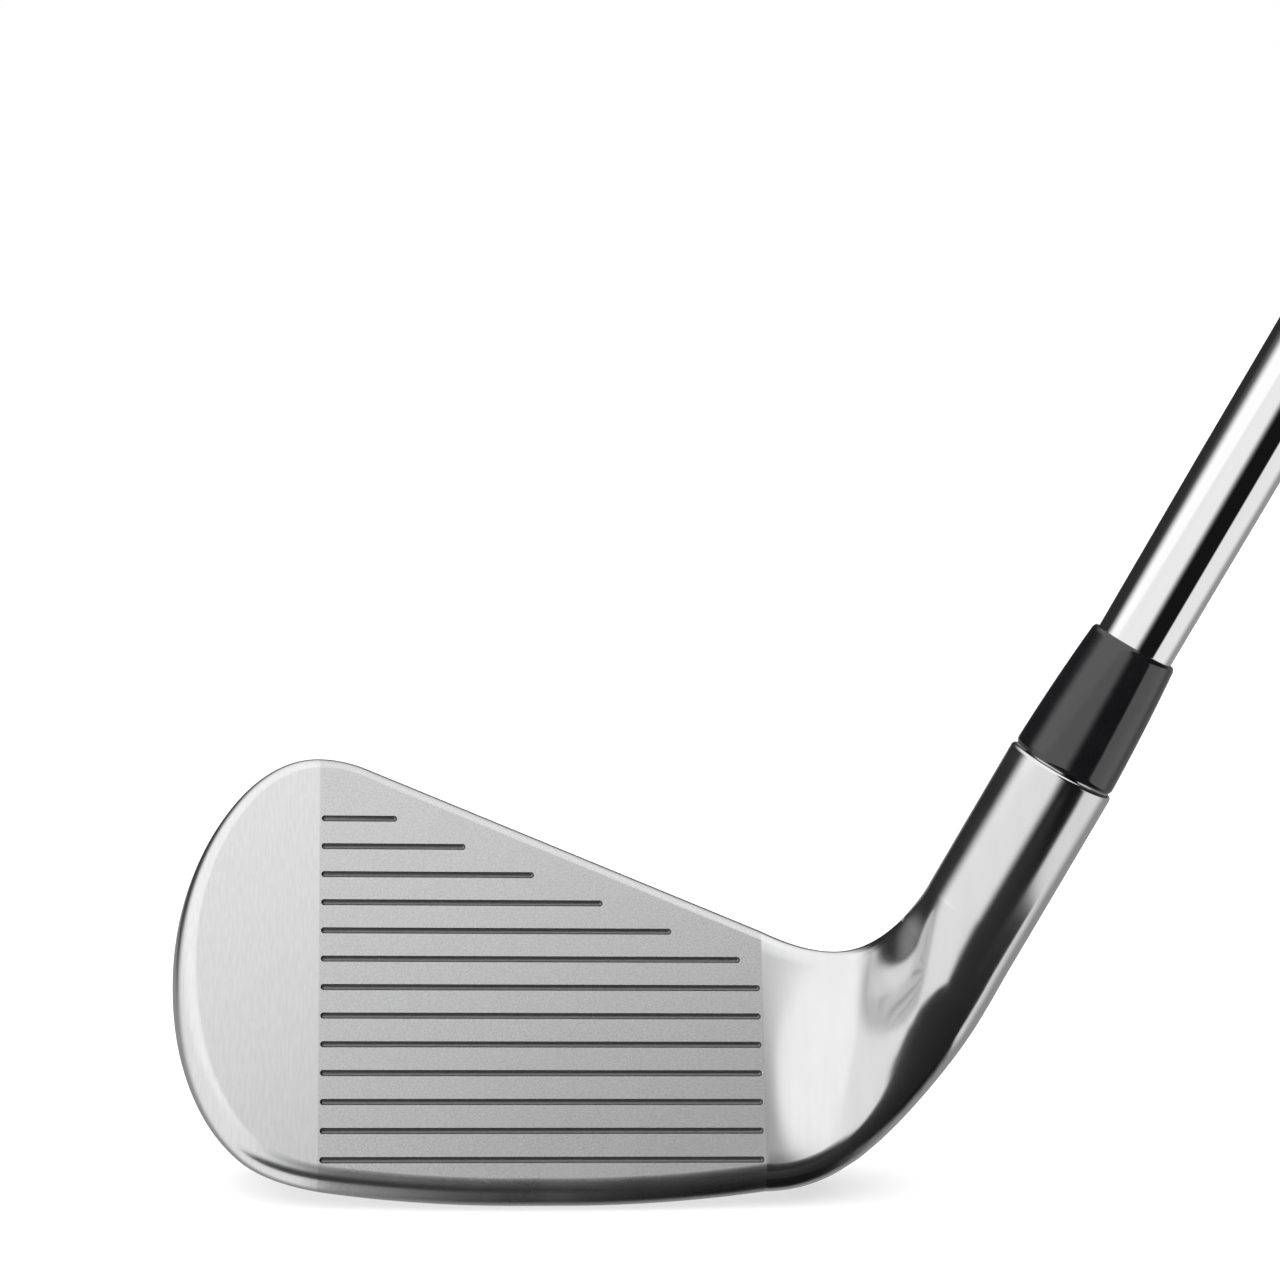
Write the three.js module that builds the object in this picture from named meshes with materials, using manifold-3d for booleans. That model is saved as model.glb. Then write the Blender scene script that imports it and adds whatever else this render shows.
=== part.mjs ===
// Iron golf club at address: a forged cavity-back head with tungsten weights, a plastic ferrule,
// a stepped steel shaft and a rubber grip. Millimetres, +Z up.
//
// The origin is the rest point of the sole, on the ground. +X runs along the score lines towards the
// heel and the shaft, -Y is the way the face looks, and +Y is the back of the head.
import * as THREE from "three";
import { mergeVertices } from "three/addons/utils/BufferGeometryUtils.js";
import Module from "manifold-3d";

const wasm = await Module();
wasm.setup();

// ---------------------------------------------------------------- driving dimensions
const DEG = Math.PI / 180;
const LOFT = 28 * DEG; // the face leans back from the vertical
const LIE = 62 * DEG; // the shaft leans up from the ground
const CLUB_LENGTH = 965; // along the shaft axis, from the ground to the end of the grip
const AXIS_X = 31.15; // where the shaft axis meets the ground
const AXIS_Y = -4.8;
const FACE_Y = -10.05; // where the plane of the face meets the ground
const SEAT_GAP = 0.2; // between pieces that are bonded or pressed together
const MARGIN = 5; // how far a cutter reaches past the surface it opens

// Blade outline in the plane of the face: x towards the heel, v up the face.
const HEEL_X = 26; // end of the flat face
const TOPLINE_HEEL_V = 34.1; // height of the top line there
const TOPLINE_SLOPE = 22.7 * DEG;
const TOPLINE_LENGTH = 50.4;
// The toe bends through these points: reach beyond the toe end of the top line, share of its height
// there, and heading, counter-clockwise from +x.
const TOE_BENDS = [
  { reach: 5.6, height: 1.0214, heading: 180 * DEG },
  { reach: 15.2, height: 0.9197, heading: 231.5 * DEG },
  { reach: 21.9, height: 0.5266, heading: 270 * DEG },
  { reach: 14.2, height: 0.1158, heading: 318.5 * DEG },
];
const SOLE_TOE_REACH = 3.9; // the toe curve runs into the sole here
const SOLE_EDGE_HEIGHT = 0.75; // leading edge above the ground
const SOLE_FLAT = 6; // straight middle of the sole, along x
const SOLE_RADIUS = 180; // its curve from there to the toe and the heel

// Thickness of the blade, square to the face, on its top line and on its sole.
const TOPLINE_DEPTH = 6.2;
const SOLE_DEPTH = 17.6;
const SOLE_HEEL_DEPTH = 15.8;
const TOPLINE_EDGE = 1.3; // how far the front edge rounding reaches
const SOLE_EDGE = 3.9;
const TOPLINE_BACK_EDGE = 0.9;
const SOLE_BACK_EDGE = 2.4;
const TOPLINE_CROWN = 0.25; // how far the edge bulges between its roundings
const SOLE_FLAT_CUT = 0.09; // how much of the sole's bulge is cut off level, for it to rest on

// Cavity in the back, closed at the top line, the toe and the heel by a rim.
const CAVITY_TOP_RIM = 5; // from the top line down to the cavity
const CAVITY_TOE_RIM = 5.8; // from the toe to the cavity
const CAVITY_TOE_TOP_REACH = 5; // beyond the toe end of the top line
const CAVITY_TOE_HIGH_V = 36;
const CAVITY_HEEL_X = 17;
const CAVITY_BOTTOM_HEEL_V = 19;
const CAVITY_BOTTOM_TOE_V = 22;
const CAVITY_CORNER = 5; // reach of its rounded corners
const CAVITY_FLOOR_DEPTH = 3.2; // thickness of the face in front of the cavity
const CAVITY_WALL_DRAFT = 0.9; // how far the wall leans in on its way to the floor

// Score lines.
const GROOVE_PITCH = 3.375;
const GROOVE_LOWEST_V = 6.8;
const GROOVE_WIDTH = 0.7;
const GROOVE_DEPTH = 0.45;
const GROOVE_FLOOR_WIDTH = 0.35;
const GROOVE_TOE_REACH = 5; // beyond the toe end of the top line
const GROOVE_HEEL_X = 25.6;
const GROOVE_TOPLINE_MARGIN = 4.5; // between the end of a line and the top line above it
const GROOVE_SHORTEST = 6; // a line with less room than this is left out

// Hosel, bent up from the heel.
const HOSEL_WALL = 1.7;
const HOSEL_START = 34.7; // along the shaft axis from the ground: the rails are straight from here
const ROUND_FROM = 40; // and the hosel is round from here
const HOSEL_TOP = 59.2;
const HOSEL_CHAMFER = 0.4;
const CROTCH = { x: 37.1, z: 25.3 }; // where the top line and the hosel would cross if left sharp
const CROTCH_ROUNDING = 0.72; // how far the handles of the curve reach towards it
const HEEL_CORNER = { x: 40.55, z: 2.3 }; // where the sole and the hosel would cross if left sharp
const SOLE_ROUNDING = 0.62; // how far the handles reach towards it, at the sole and at the hosel
const HEEL_ROUNDING = 0.8;
const HEEL_LAG = 0.25; // how much later the top of the heel turns round than its bottom
const FRONT_HANDLE = 0.4; // reach of the handles of the curved front between its two edges
const SHAFT_INSERTION = 21; // depth of the bore

// Shaft.
const TIP_DIAMETER = 9.1;
const TIP_TAPER = 0.0075; // growth in diameter per mm, up to the first step
const TIP_TAPER_LENGTH = 60;
const BUTT_DIAMETER = 15.24;
const SHAFT_WALL = 0.45;
const SHAFT_STEPS = 13;
const STEP_PITCH = 38;
const STEP_LENGTH = 3; // the slope from one diameter to the next
const LAST_STEP_TO_GRIP = 9;
const BORE_CLEARANCE = 0.25; // glue line between the shaft and the hosel, on the radius

// Ferrule.
const FERRULE_LENGTH = 16.2;
const FERRULE_LIP = 0.4; // its wall at the top
const FERRULE_STEP = 0.28; // how far it lies inside the edge of the hosel
const FERRULE_BULGE = 0.12;
const FERRULE_EDGE = 0.4;

// Grip, measured from its mouth to the end of its cap.
const GRIP_LENGTH = 267;
const GRIP_MOUTH_WALL = 0.58;
const GRIP_SWELL = 4.3; // growth in radius from the mouth to the butt
const GRIP_RIM = 1.5; // further growth to the rim that the cap meets
const GRIP_EDGE = 0.8; // rounding of the mouth
const GRIP_CAP_LENGTH = 7;
const CAP_PLUG_LENGTH = 10;
const CAP_PLUG_CLEARANCE = 1.5; // round the plug, inside the shaft
const VENT_RADIUS = 1.4;
const TAPE_THICKNESS = 0.5;
const TAPE_START = 6; // the tape stops this far inside the mouth

// Printed band below the grip.
const BAND_LENGTH = 26;
const BAND_THICKNESS = 0.15;

// Weights in the muscle, and the plate that closes their pockets from behind.
const PLATE_TOE_X = -26;
const PLATE_HEEL_X = 12;
const PLATE_BOTTOM_Z = 3.6;
const PLATE_HEIGHT = 6.4;
const PLATE_THICKNESS = 1.2;
const PLATE_RECESS = 0.3; // how far it lies below the back of the muscle
const PLATE_CORNER = 2;
const WEIGHT_LENGTH = { toe: 15, heel: 9 };
const WEIGHT_HEIGHT = 4;
const WEIGHT_DEPTH = 7;

// Badge in the cavity, on a foam pad.
const PAD_THICKNESS = 0.6;
const BADGE_THICKNESS = 0.8;
const BADGE_MARGIN = 1.3; // from the foot of the cavity's wall

// Swing weight in the tip of the shaft.
const TIP_WEIGHT_LENGTH = 22;

// Sizes that follow from the ones above.
const BORE_RADIUS = TIP_DIAMETER / 2 + BORE_CLEARANCE;
const HOSEL_RADIUS = BORE_RADIUS + HOSEL_WALL;
const SOLE_CROWN = (SOLE_EDGE_HEIGHT + SOLE_FLAT_CUT) / Math.cos(LOFT); // it bulges along the face

// ---------------------------------------------------------------- materials
const finish = (color, roughness, metalness) =>
  new THREE.MeshStandardMaterial({ color, roughness, metalness });
const forgedSteel = finish(0xc9cacb, 0.3, 1);
const polishedSteel = finish(0xe6e7e8, 0.06, 1);
const tungsten = finish(0x6f7073, 0.45, 1);
const nickelPlate = finish(0x8d8f92, 0.25, 1);
const brass = finish(0xb0924e, 0.35, 1);
const blackPlastic = finish(0x0c0c0d, 0.12, 0);
const blackRubber = finish(0x161617, 0.75, 0);
const foam = finish(0x3a3a3c, 0.9, 0);
const tape = finish(0xd8d2bf, 0.8, 0);
const foil = finish(0x2a2b2e, 0.3, 0);

// ---------------------------------------------------------------- small helpers
const mix = (a, b, t) => a + (b - a) * t;
const clamp01 = (t) => Math.min(1, Math.max(0, t));
const smooth = (t) => clamp01(t) ** 2 * (3 - 2 * clamp01(t));
const vec = (x, y, z) => new THREE.Vector3(x, y, z);

// A point given in the plane of the face: x, v up the face, w into the head.
const facePoint = (x, v, w) =>
  vec(
    x,
    FACE_Y + v * Math.sin(LOFT) + w * Math.cos(LOFT),
    v * Math.cos(LOFT) - w * Math.sin(LOFT),
  );

// A point on the shaft axis, h above the ground along it, moved by across (to the heel) and by y.
const axisPoint = (h, across = 0, y = 0) =>
  vec(
    AXIS_X + h * Math.cos(LIE) + across * Math.sin(LIE),
    AXIS_Y + y,
    h * Math.sin(LIE) - across * Math.cos(LIE),
  );

// A rounded corner from a to b, tangent to both sides at the vertex. It is an arc where the two
// sides are equally long.
function roundCorner(a, vertex, b, steps) {
  const turn = vertex.clone().sub(a).angleTo(b.clone().sub(vertex));
  const weight = Math.cos(turn / 2);
  return Array.from({ length: steps + 1 }, (_, i) => {
    const t = i / steps;
    const wa = (1 - t) ** 2;
    const wv = 2 * weight * t * (1 - t);
    const wb = t * t;
    return vec(0, 0, 0)
      .addScaledVector(a, wa)
      .addScaledVector(vertex, wv)
      .addScaledVector(b, wb)
      .divideScalar(wa + wv + wb);
  });
}

const ARC_HANDLE = 0.65; // share of the way to the crossing at which a quarter turn looks round

// A cubic curve between two points with given headings, bent like an arc towards their crossing.
function bend(from, to) {
  const a = new THREE.Vector2(from.x, from.v);
  const b = new THREE.Vector2(to.x, to.v);
  const da = new THREE.Vector2(Math.cos(from.heading), Math.sin(from.heading));
  const db = new THREE.Vector2(Math.cos(to.heading), Math.sin(to.heading));
  const chord = b.clone().sub(a);
  const turn = da.cross(db);
  const reachA = chord.cross(db) / turn;
  const reachB = da.cross(chord) / turn;
  return new THREE.CubicBezierCurve(
    a,
    a.clone().addScaledVector(da, ARC_HANDLE * reachA),
    b.clone().addScaledVector(db, -ARC_HANDLE * reachB),
    b,
  );
}

// Triangles between rows of points: each row holds the same number of points. Each four points are
// split along their shorter diagonal.
function skin(rows, closed) {
  const triangles = [];
  for (let r = 0; r + 1 < rows.length; r++) {
    const count = rows[r].length;
    for (let i = 0; i < (closed ? count : count - 1); i++) {
      const n = (i + 1) % count;
      const [a, b, c, d] = [rows[r][i], rows[r + 1][i], rows[r + 1][n], rows[r][n]];
      if (a.distanceTo(c) <= b.distanceTo(d)) triangles.push(a, b, c, a, c, d);
      else triangles.push(a, b, d, b, c, d);
    }
  }
  return triangles;
}

// Rows of points spaced evenly from one row to another, both included.
const rowsBetween = (from, to, steps) =>
  Array.from({ length: steps + 1 }, (_, k) => from.map((p, i) => p.clone().lerp(to[i], k / steps)));

// A flat polygon filled with triangles; flat(p) gives the two coordinates in its plane.
function fill(points, flat, reversed = false) {
  const faces = THREE.ShapeUtils.triangulateShape(points.map(flat), []);
  return faces.flatMap((f) =>
    (reversed ? [f[0], f[2], f[1]] : f).map((i) => points[i]),
  );
}

const geometryOf = (triangles) =>
  new THREE.BufferGeometry().setFromPoints(triangles);

function solidOf(geometry) {
  const bare = geometry.index ? geometry.toNonIndexed() : geometry.clone();
  for (const name of Object.keys(bare.attributes))
    if (name !== "position") bare.deleteAttribute(name);
  const merged = mergeVertices(bare, 1e-4);
  return new wasm.Manifold(
    new wasm.Mesh({
      numProp: 3,
      vertProperties: merged.attributes.position.array,
      triVerts: new Uint32Array(merged.index.array),
    }),
  );
}

function geometryFrom(solid) {
  const mesh = solid.getMesh();
  return new THREE.BufferGeometry()
    .setAttribute(
      "position",
      new THREE.BufferAttribute(new Float32Array(mesh.vertProperties), 3),
    )
    .setIndex(new THREE.BufferAttribute(new Uint32Array(mesh.triVerts), 1));
}

function piece(name, geometry, material) {
  const mesh = new THREE.Mesh(geometry, material);
  mesh.name = name;
  return mesh;
}

// ---------------------------------------------------------------- blade outline
const toplineV = (x) =>
  TOPLINE_HEEL_V + (HEEL_X - x) * Math.tan(TOPLINE_SLOPE);
const soleRise = (x) =>
  Math.max(0, Math.abs(x) - SOLE_FLAT / 2) ** 2 / (2 * SOLE_RADIUS);
const soleV = (x) => (SOLE_EDGE_HEIGHT + soleRise(x)) / Math.cos(LOFT);
const TOPLINE_TOE_X = HEEL_X - TOPLINE_LENGTH * Math.cos(TOPLINE_SLOPE);
const SOLE_TOE_X = TOPLINE_TOE_X - SOLE_TOE_REACH;
const TOE_X = TOPLINE_TOE_X - Math.max(...TOE_BENDS.map((stop) => stop.reach));

function toeCurve() {
  const start = {
    x: TOPLINE_TOE_X,
    v: toplineV(TOPLINE_TOE_X),
    heading: 180 * DEG - TOPLINE_SLOPE,
  };
  const stops = TOE_BENDS.map(({ reach, height, heading }) => ({
    x: TOPLINE_TOE_X - reach,
    v: start.v * height,
    heading,
  }));
  const soleSlope = (Math.abs(SOLE_TOE_X) - SOLE_FLAT / 2) / SOLE_RADIUS;
  const end = {
    x: SOLE_TOE_X,
    v: soleV(SOLE_TOE_X),
    heading: 360 * DEG - Math.atan(soleSlope / Math.cos(LOFT)),
  };
  const points = [start, ...stops, end];
  const path = new THREE.CurvePath();
  for (let i = 0; i + 1 < points.length; i++)
    path.add(bend(points[i], points[i + 1]));
  return path;
}

// The outline from the heel end of the top line, round the toe, to the heel end of the sole. Each
// point has low, which goes from 0 on the top line to 1 on the sole.
function outline(toplineSteps, toeSteps, soleSteps) {
  const points = [];
  for (let i = 0; i < toplineSteps; i++) {
    const x = mix(HEEL_X, TOPLINE_TOE_X, i / toplineSteps);
    points.push({ x, v: toplineV(x), low: 0 });
  }
  toeCurve()
    .getSpacedPoints(toeSteps)
    .forEach((p, i) =>
      points.push({ x: p.x, v: p.y, low: smooth(i / toeSteps) ** 1.4 }),
    );
  for (let i = 1; i <= soleSteps; i++) {
    const x = mix(SOLE_TOE_X, HEEL_X, i / soleSteps);
    points.push({ x, v: soleV(x), low: 1 });
  }
  return points;
}

// ---------------------------------------------------------------- cavity outline
// A closed path through the corners, each rounded from as far away as its reach.
function roundedLoop(corners) {
  const path = new THREE.CurvePath();
  const cut = (from, to) => {
    const reach = Math.min(from.reach, from.point.distanceTo(to.point) * 0.48);
    return from.point.clone().lerp(to.point, reach / from.point.distanceTo(to.point));
  };
  corners.forEach((corner, i) => {
    const before = corners.at(i - 1);
    const after = corners[(i + 1) % corners.length];
    const from = cut(corner, before);
    const to = cut(corner, after);
    path.add(new THREE.QuadraticBezierCurve(from, corner.point, to));
    path.add(new THREE.LineCurve(to, cut(after, corner)));
  });
  return path;
}

// The cavity, from its top corner at the heel, round the toe, to its bottom corner at the heel.
function cavityPath(inset) {
  const corner = (x, v, reach) => ({
    point: new THREE.Vector2(x, v),
    reach: reach - inset / 2,
  });
  const toeX = TOE_X + CAVITY_TOE_RIM + inset;
  const toeTopX = TOPLINE_TOE_X - CAVITY_TOE_TOP_REACH;
  const heelX = CAVITY_HEEL_X - inset;
  const topV = (x) => toplineV(x) - CAVITY_TOP_RIM - inset;
  return roundedLoop([
    corner(heelX, topV(heelX), CAVITY_CORNER),
    corner(toeTopX, topV(toeTopX), 2 * CAVITY_CORNER),
    corner(toeX, CAVITY_TOE_HIGH_V, 2 * CAVITY_CORNER),
    corner(toeX, CAVITY_BOTTOM_TOE_V + inset, CAVITY_CORNER),
    corner(heelX, CAVITY_BOTTOM_HEEL_V + inset, CAVITY_CORNER),
  ]);
}

// One point on the cavity for each point of the outline, at the same share of its length, and then
// the points of its heel side.
function cavityLoop(inset, points, heelSteps) {
  const loop = cavityPath(inset);
  const reached = loop.getCurveLengths();
  const total = reached.at(-1);
  const start = reached[0] / 2 / total;
  const end = (reached.at(-4) + reached.at(-3)) / 2 / total;
  const along = [0];
  for (let i = 1; i < points.length; i++) {
    const step = Math.hypot(points[i].x - points[i - 1].x, points[i].v - points[i - 1].v);
    along.push(along[i - 1] + step);
  }
  const loopPoints = along.map((s) => loop.getPointAt(mix(start, end, s / along.at(-1))));
  for (let i = 1; i < heelSteps; i++)
    loopPoints.push(loop.getPointAt(mix(end, 1 + start, i / heelSteps) % 1));
  return loopPoints;
}

// ---------------------------------------------------------------- sections of the head
const FRONT_STEPS = 3;
const SIDE_STEPS = 3;
const BACK_STEPS = 2;
const LINE_STEPS = 5; // along the straight front and back of a section
const LAND_STEPS = 3; // from the back edge to the cavity
const TOPLINE_STEPS = 8;
const TOE_STEPS = 26;
const SOLE_STEPS = 9;

// Where the line from p along a crosses the line from q along b, all in one plane.
function meet(p, a, q, b) {
  const normal = a.clone().cross(b);
  const reach = q.clone().sub(p).cross(b).dot(normal) / normal.lengthSq();
  return p.clone().addScaledVector(a, reach);
}

// The edge of the blade from the face, over a rounding, along the crowned side and over the back
// rounding.
function edgeSection(front, vertex, backVertex, back, sizes) {
  const inward = front.clone().sub(vertex).normalize();
  const backward = back.clone().sub(backVertex).normalize();
  const length = vertex.distanceTo(backVertex);
  const side = backVertex.clone().sub(vertex).normalize();
  const bulge = (4 * sizes.crown) / length ** 2;
  const onSide = (a) =>
    vertex.clone().addScaledVector(side, a).addScaledVector(inward, -bulge * a * (length - a));
  const heading = (a) => side.clone().addScaledVector(inward, -bulge * (length - 2 * a));
  const first = sizes.edge;
  const last = length - sizes.backEdge;
  const nose = roundCorner(
    vertex.clone().addScaledVector(inward, sizes.edge),
    meet(onSide(first), heading(first), vertex, inward),
    onSide(first),
    FRONT_STEPS,
  );
  const tail = roundCorner(
    onSide(last),
    meet(onSide(last), heading(last), backVertex, backward),
    backVertex.clone().addScaledVector(backward, sizes.backEdge),
    BACK_STEPS,
  );
  const middle = [];
  for (let i = 1; i < SIDE_STEPS; i++) middle.push(onSide(mix(first, last, i / SIDE_STEPS)));
  return [...nose, ...middle, ...tail];
}

const sizesAt = (low) => ({
  edge: mix(TOPLINE_EDGE, SOLE_EDGE, low),
  backEdge: mix(TOPLINE_BACK_EDGE, SOLE_BACK_EDGE, low),
  crown: mix(TOPLINE_CROWN, SOLE_CROWN, low),
});

// The depth of the sole falls towards the heel.
const depthAt = (x, low) => {
  const heelShare = smooth((x - PLATE_HEEL_X) / (HEEL_X - PLATE_HEEL_X));
  return mix(TOPLINE_DEPTH, mix(SOLE_DEPTH, SOLE_HEEL_DEPTH, heelShare), low);
};

// The back of the muscle is upright, flush with the back edge of the sole.
const MUSCLE_Y = FACE_Y + SOLE_EDGE_HEIGHT * Math.tan(LOFT) + SOLE_DEPTH / Math.cos(LOFT);
const muscleDepth = (v) => (MUSCLE_Y - FACE_Y - v * Math.sin(LOFT)) / Math.cos(LOFT);

const backVertexOf = (p) => {
  const depth = depthAt(p.x, p.low);
  const lean = mix(0, Math.tan(LOFT), p.low);
  return facePoint(p.x, p.v + lean * depth, depth);
};

// The face is entered straight down from the top line and up from the sole, and round the toe
// towards its centre.
const TOE_CENTRE = { x: -16, v: 28 };
const inwardOf = (p) => facePoint(Math.max(p.x, TOE_CENTRE.x), TOE_CENTRE.v, 0);

// The section across the heel between bottom and top, in the x-z plane, at share t of the way: the
// blade's own at t = 0, and a square with its corners rounded into a circle at t = 1. Its lower
// front corner moves out to the hosel first and its upper front corner last.
function heelSection(bottom, top, t) {
  const height = bottom.distanceTo(top);
  const up = vec(top.x - bottom.x, 0, top.y - bottom.y).divideScalar(height);
  const at = (h, y) => vec(bottom.x, y, bottom.y).addScaledVector(up, h);
  const faceY = (z) => FACE_Y + z * Math.tan(LOFT);
  const early = smooth(t / (1 - HEEL_LAG));
  const late = smooth((t - HEEL_LAG) / (1 - HEEL_LAG));
  const even = smooth(t);
  const front = AXIS_Y - HOSEL_RADIUS;
  const back = AXIS_Y + HOSEL_RADIUS;
  const soleFront = at(0, mix(faceY(bottom.y), front, early));
  const topFront = at(height, mix(faceY(top.y), AXIS_Y, late));
  const soleBack = at(0, mix(faceY(bottom.y) + SOLE_HEEL_DEPTH / Math.cos(LOFT), back, even));
  const topBack = at(
    height - TOPLINE_DEPTH * Math.sin(LOFT) * (1 - late),
    mix(faceY(top.y) + TOPLINE_DEPTH * Math.cos(LOFT), back, even),
  );
  const grown = (low, share, edge) => {
    const start = sizesAt(low);
    return {
      edge: mix(start.edge, edge, share),
      backEdge: mix(start.backEdge, HOSEL_RADIUS, share),
      crown: start.crown * (1 - share),
    };
  };
  // A way in the plane of the section, leaning back from its height by an angle.
  const leaning = (angle) =>
    vec(0, Math.sin(angle), 0).addScaledVector(up, Math.cos(angle));
  const rise = leaning(mix(LOFT, 0, early));
  const drop = leaning(mix(LOFT, 90 * DEG, late)).negate();
  return sectionRing(
    edgeSection(topFront.clone().add(drop), topFront, topBack, soleBack, grown(0, late, 0)),
    edgeSection(soleFront.clone().add(rise), soleFront, soleBack, topBack, grown(1, early, HOSEL_RADIUS)),
    rise,
    drop,
  );
}

// Joins a top edge and a sole edge into a closed ring: over the top, down the back, under the sole,
// and up the front. The front leaves the two edges along rise and drop, if they are given.
function sectionRing(topEdge, soleEdge, rise, drop) {
  const low = soleEdge[0];
  const high = topEdge[0];
  const straight = high.clone().sub(low);
  const reach = straight.length() * FRONT_HANDLE;
  const up = rise ?? straight.clone().normalize();
  const down = drop ?? straight.clone().normalize().negate();
  const front = new THREE.CubicBezierCurve3(
    low,
    low.clone().addScaledVector(up, reach),
    high.clone().addScaledVector(down, reach),
    high,
  );
  const inner = (line) => line.getPoints(LINE_STEPS).slice(1, -1);
  const back = new THREE.LineCurve3(topEdge.at(-1), soleEdge.at(-1));
  return [...topEdge, ...inner(back), ...soleEdge.toReversed(), ...inner(front)];
}

// A circle round the shaft axis, with count points, that starts at the toe side and goes over the
// back.
const hoselRing = (h, radius, count) =>
  Array.from({ length: count }, (_, i) => {
    const turn = (2 * Math.PI * i) / count;
    return axisPoint(h, -radius * Math.cos(turn), radius * Math.sin(turn));
  });

// How far along a closed ring each of its points lies, from 0 to 1.
function shares(ring) {
  const run = [0];
  ring.forEach((p, i) => run.push(run[i] + p.distanceTo(ring[(i + 1) % ring.length])));
  return run.slice(0, -1).map((r) => r / run.at(-1));
}

// The points at given shares along a closed ring.
function respaced(ring, places) {
  const closed = new THREE.CurvePath();
  ring.forEach((p, i) => closed.add(new THREE.LineCurve3(p, ring[(i + 1) % ring.length])));
  return places.map((place) => closed.getPointAt(place));
}

// ---------------------------------------------------------------- heel and hosel rails
// Two curves in the x-z plane: the top one runs from the top line through the crotch to the hosel,
// the bottom one from the sole round the heel to the hosel.
function rail(startZ, corner, near, far, side) {
  const at = (h) => {
    const p = axisPoint(h, side * HOSEL_RADIUS);
    return new THREE.Vector2(p.x, p.z);
  };
  const start = new THREE.Vector2(HEEL_X, startZ);
  const end = at(HOSEL_START);
  const towards = (p, share) => p.clone().lerp(new THREE.Vector2(corner.x, corner.z), share);
  const path = new THREE.CurvePath();
  path.add(new THREE.CubicBezierCurve(start, towards(start, near), towards(end, far), end));
  path.add(new THREE.LineCurve(end, at(ROUND_FROM)));
  return path;
}

// ---------------------------------------------------------------- head
const HEEL_RINGS = 18;

function headGeometry() {
  const points = outline(TOPLINE_STEPS, TOE_STEPS, SOLE_STEPS);
  const outerCount = points.length - 1;
  const cavity = cavityLoop(0, points, LINE_STEPS);
  const floor = cavityLoop(CAVITY_WALL_DRAFT, points, LINE_STEPS);
  const lipAt = (i, low) =>
    facePoint(cavity[i].x, cavity[i].y, mix(TOPLINE_DEPTH, muscleDepth(cavity[i].y), low));
  const lip = points.map((p, i) => lipAt(i, p.low));
  // At the heel end of the blade the section has no cavity: its back is straight.
  const section = (p, i) => {
    const atHeel = i === 0 || i === outerCount;
    const other = points[i === 0 ? outerCount : 0];
    return edgeSection(
      inwardOf(p),
      facePoint(p.x, p.v, 0),
      backVertexOf(p),
      atHeel ? backVertexOf(other) : lip[i],
      sizesAt(p.low),
    );
  };
  const edges = points.map(section);
  const firstRing = sectionRing(edges[0], edges[outerCount]);
  const edgeCount = edges[0].length - 1;
  const triangles = skin(
    edges[0].map((_, k) => edges.map((edge) => edge[k])),
    false,
  );

  // The face, flat inside the front edge.
  const frontLine = firstRing.slice(-(LINE_STEPS - 1));
  const inFace = (p) =>
    new THREE.Vector2(
      p.x,
      p.z * Math.cos(LOFT) + (p.y - FACE_Y) * Math.sin(LOFT),
    );
  triangles.push(...fill([...edges.map((e) => e[0]), ...frontLine], inFace));

  // The back: from the back edge to the lip of the cavity, down its wall, and its flat floor.
  const backLine = firstRing
    .slice(edgeCount + 1, edgeCount + LINE_STEPS)
    .toReversed();
  const backEdge = [...edges.map((e) => e.at(-1)), ...backLine];
  for (let i = outerCount + 1; i < cavity.length; i++)
    lip.push(lipAt(i, 1 - (i - outerCount) / LINE_STEPS));
  const floorEdge = floor.map((p) =>
    facePoint(p.x, p.y, CAVITY_FLOOR_DEPTH),
  );
  triangles.push(...skin([...rowsBetween(backEdge, lip, LAND_STEPS), floorEdge], true));
  triangles.push(...fill(floorEdge, inFace, true));

  // The heel and the hosel, one ring after another, and back down inside as the bore.
  const topZ = facePoint(HEEL_X, TOPLINE_HEEL_V, 0).z;
  const soleZ = facePoint(HEEL_X, soleV(HEEL_X), 0).z;
  const top = rail(topZ, CROTCH, CROTCH_ROUNDING, CROTCH_ROUNDING, -1);
  const bottom = rail(soleZ, HEEL_CORNER, SOLE_ROUNDING, HEEL_ROUNDING, 1);
  const firstShares = shares(firstRing);
  const rings = [firstRing];
  for (let i = 1; i < HEEL_RINGS; i++) {
    const t = i / HEEL_RINGS;
    const places = firstShares.map((share, k) => mix(share, k / firstRing.length, smooth(t)));
    rings.push(respaced(heelSection(bottom.getPointAt(t), top.getPointAt(t), t), places));
  }
  for (const [h, radius] of [
    [ROUND_FROM, HOSEL_RADIUS],
    [HOSEL_TOP - HOSEL_CHAMFER, HOSEL_RADIUS],
    [HOSEL_TOP, HOSEL_RADIUS - HOSEL_CHAMFER],
    [HOSEL_TOP, BORE_RADIUS],
    [HOSEL_TOP - SHAFT_INSERTION, BORE_RADIUS],
  ])
    rings.push(hoselRing(h, radius, firstRing.length));
  const centre = axisPoint(HOSEL_TOP - SHAFT_INSERTION);
  rings.push(rings.at(-1).map(() => centre));
  triangles.push(...skin(rings, true));
  return geometryOf(dropFlat(triangles));
}

// Leaves out triangles with two corners in one place.
function dropFlat(triangles) {
  const kept = [];
  for (let i = 0; i < triangles.length; i += 3) {
    const [a, b, c] = triangles.slice(i, i + 3);
    if (a.distanceTo(b) > 1e-6 && b.distanceTo(c) > 1e-6 && c.distanceTo(a) > 1e-6)
      kept.push(a, b, c);
  }
  return kept;
}

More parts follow.
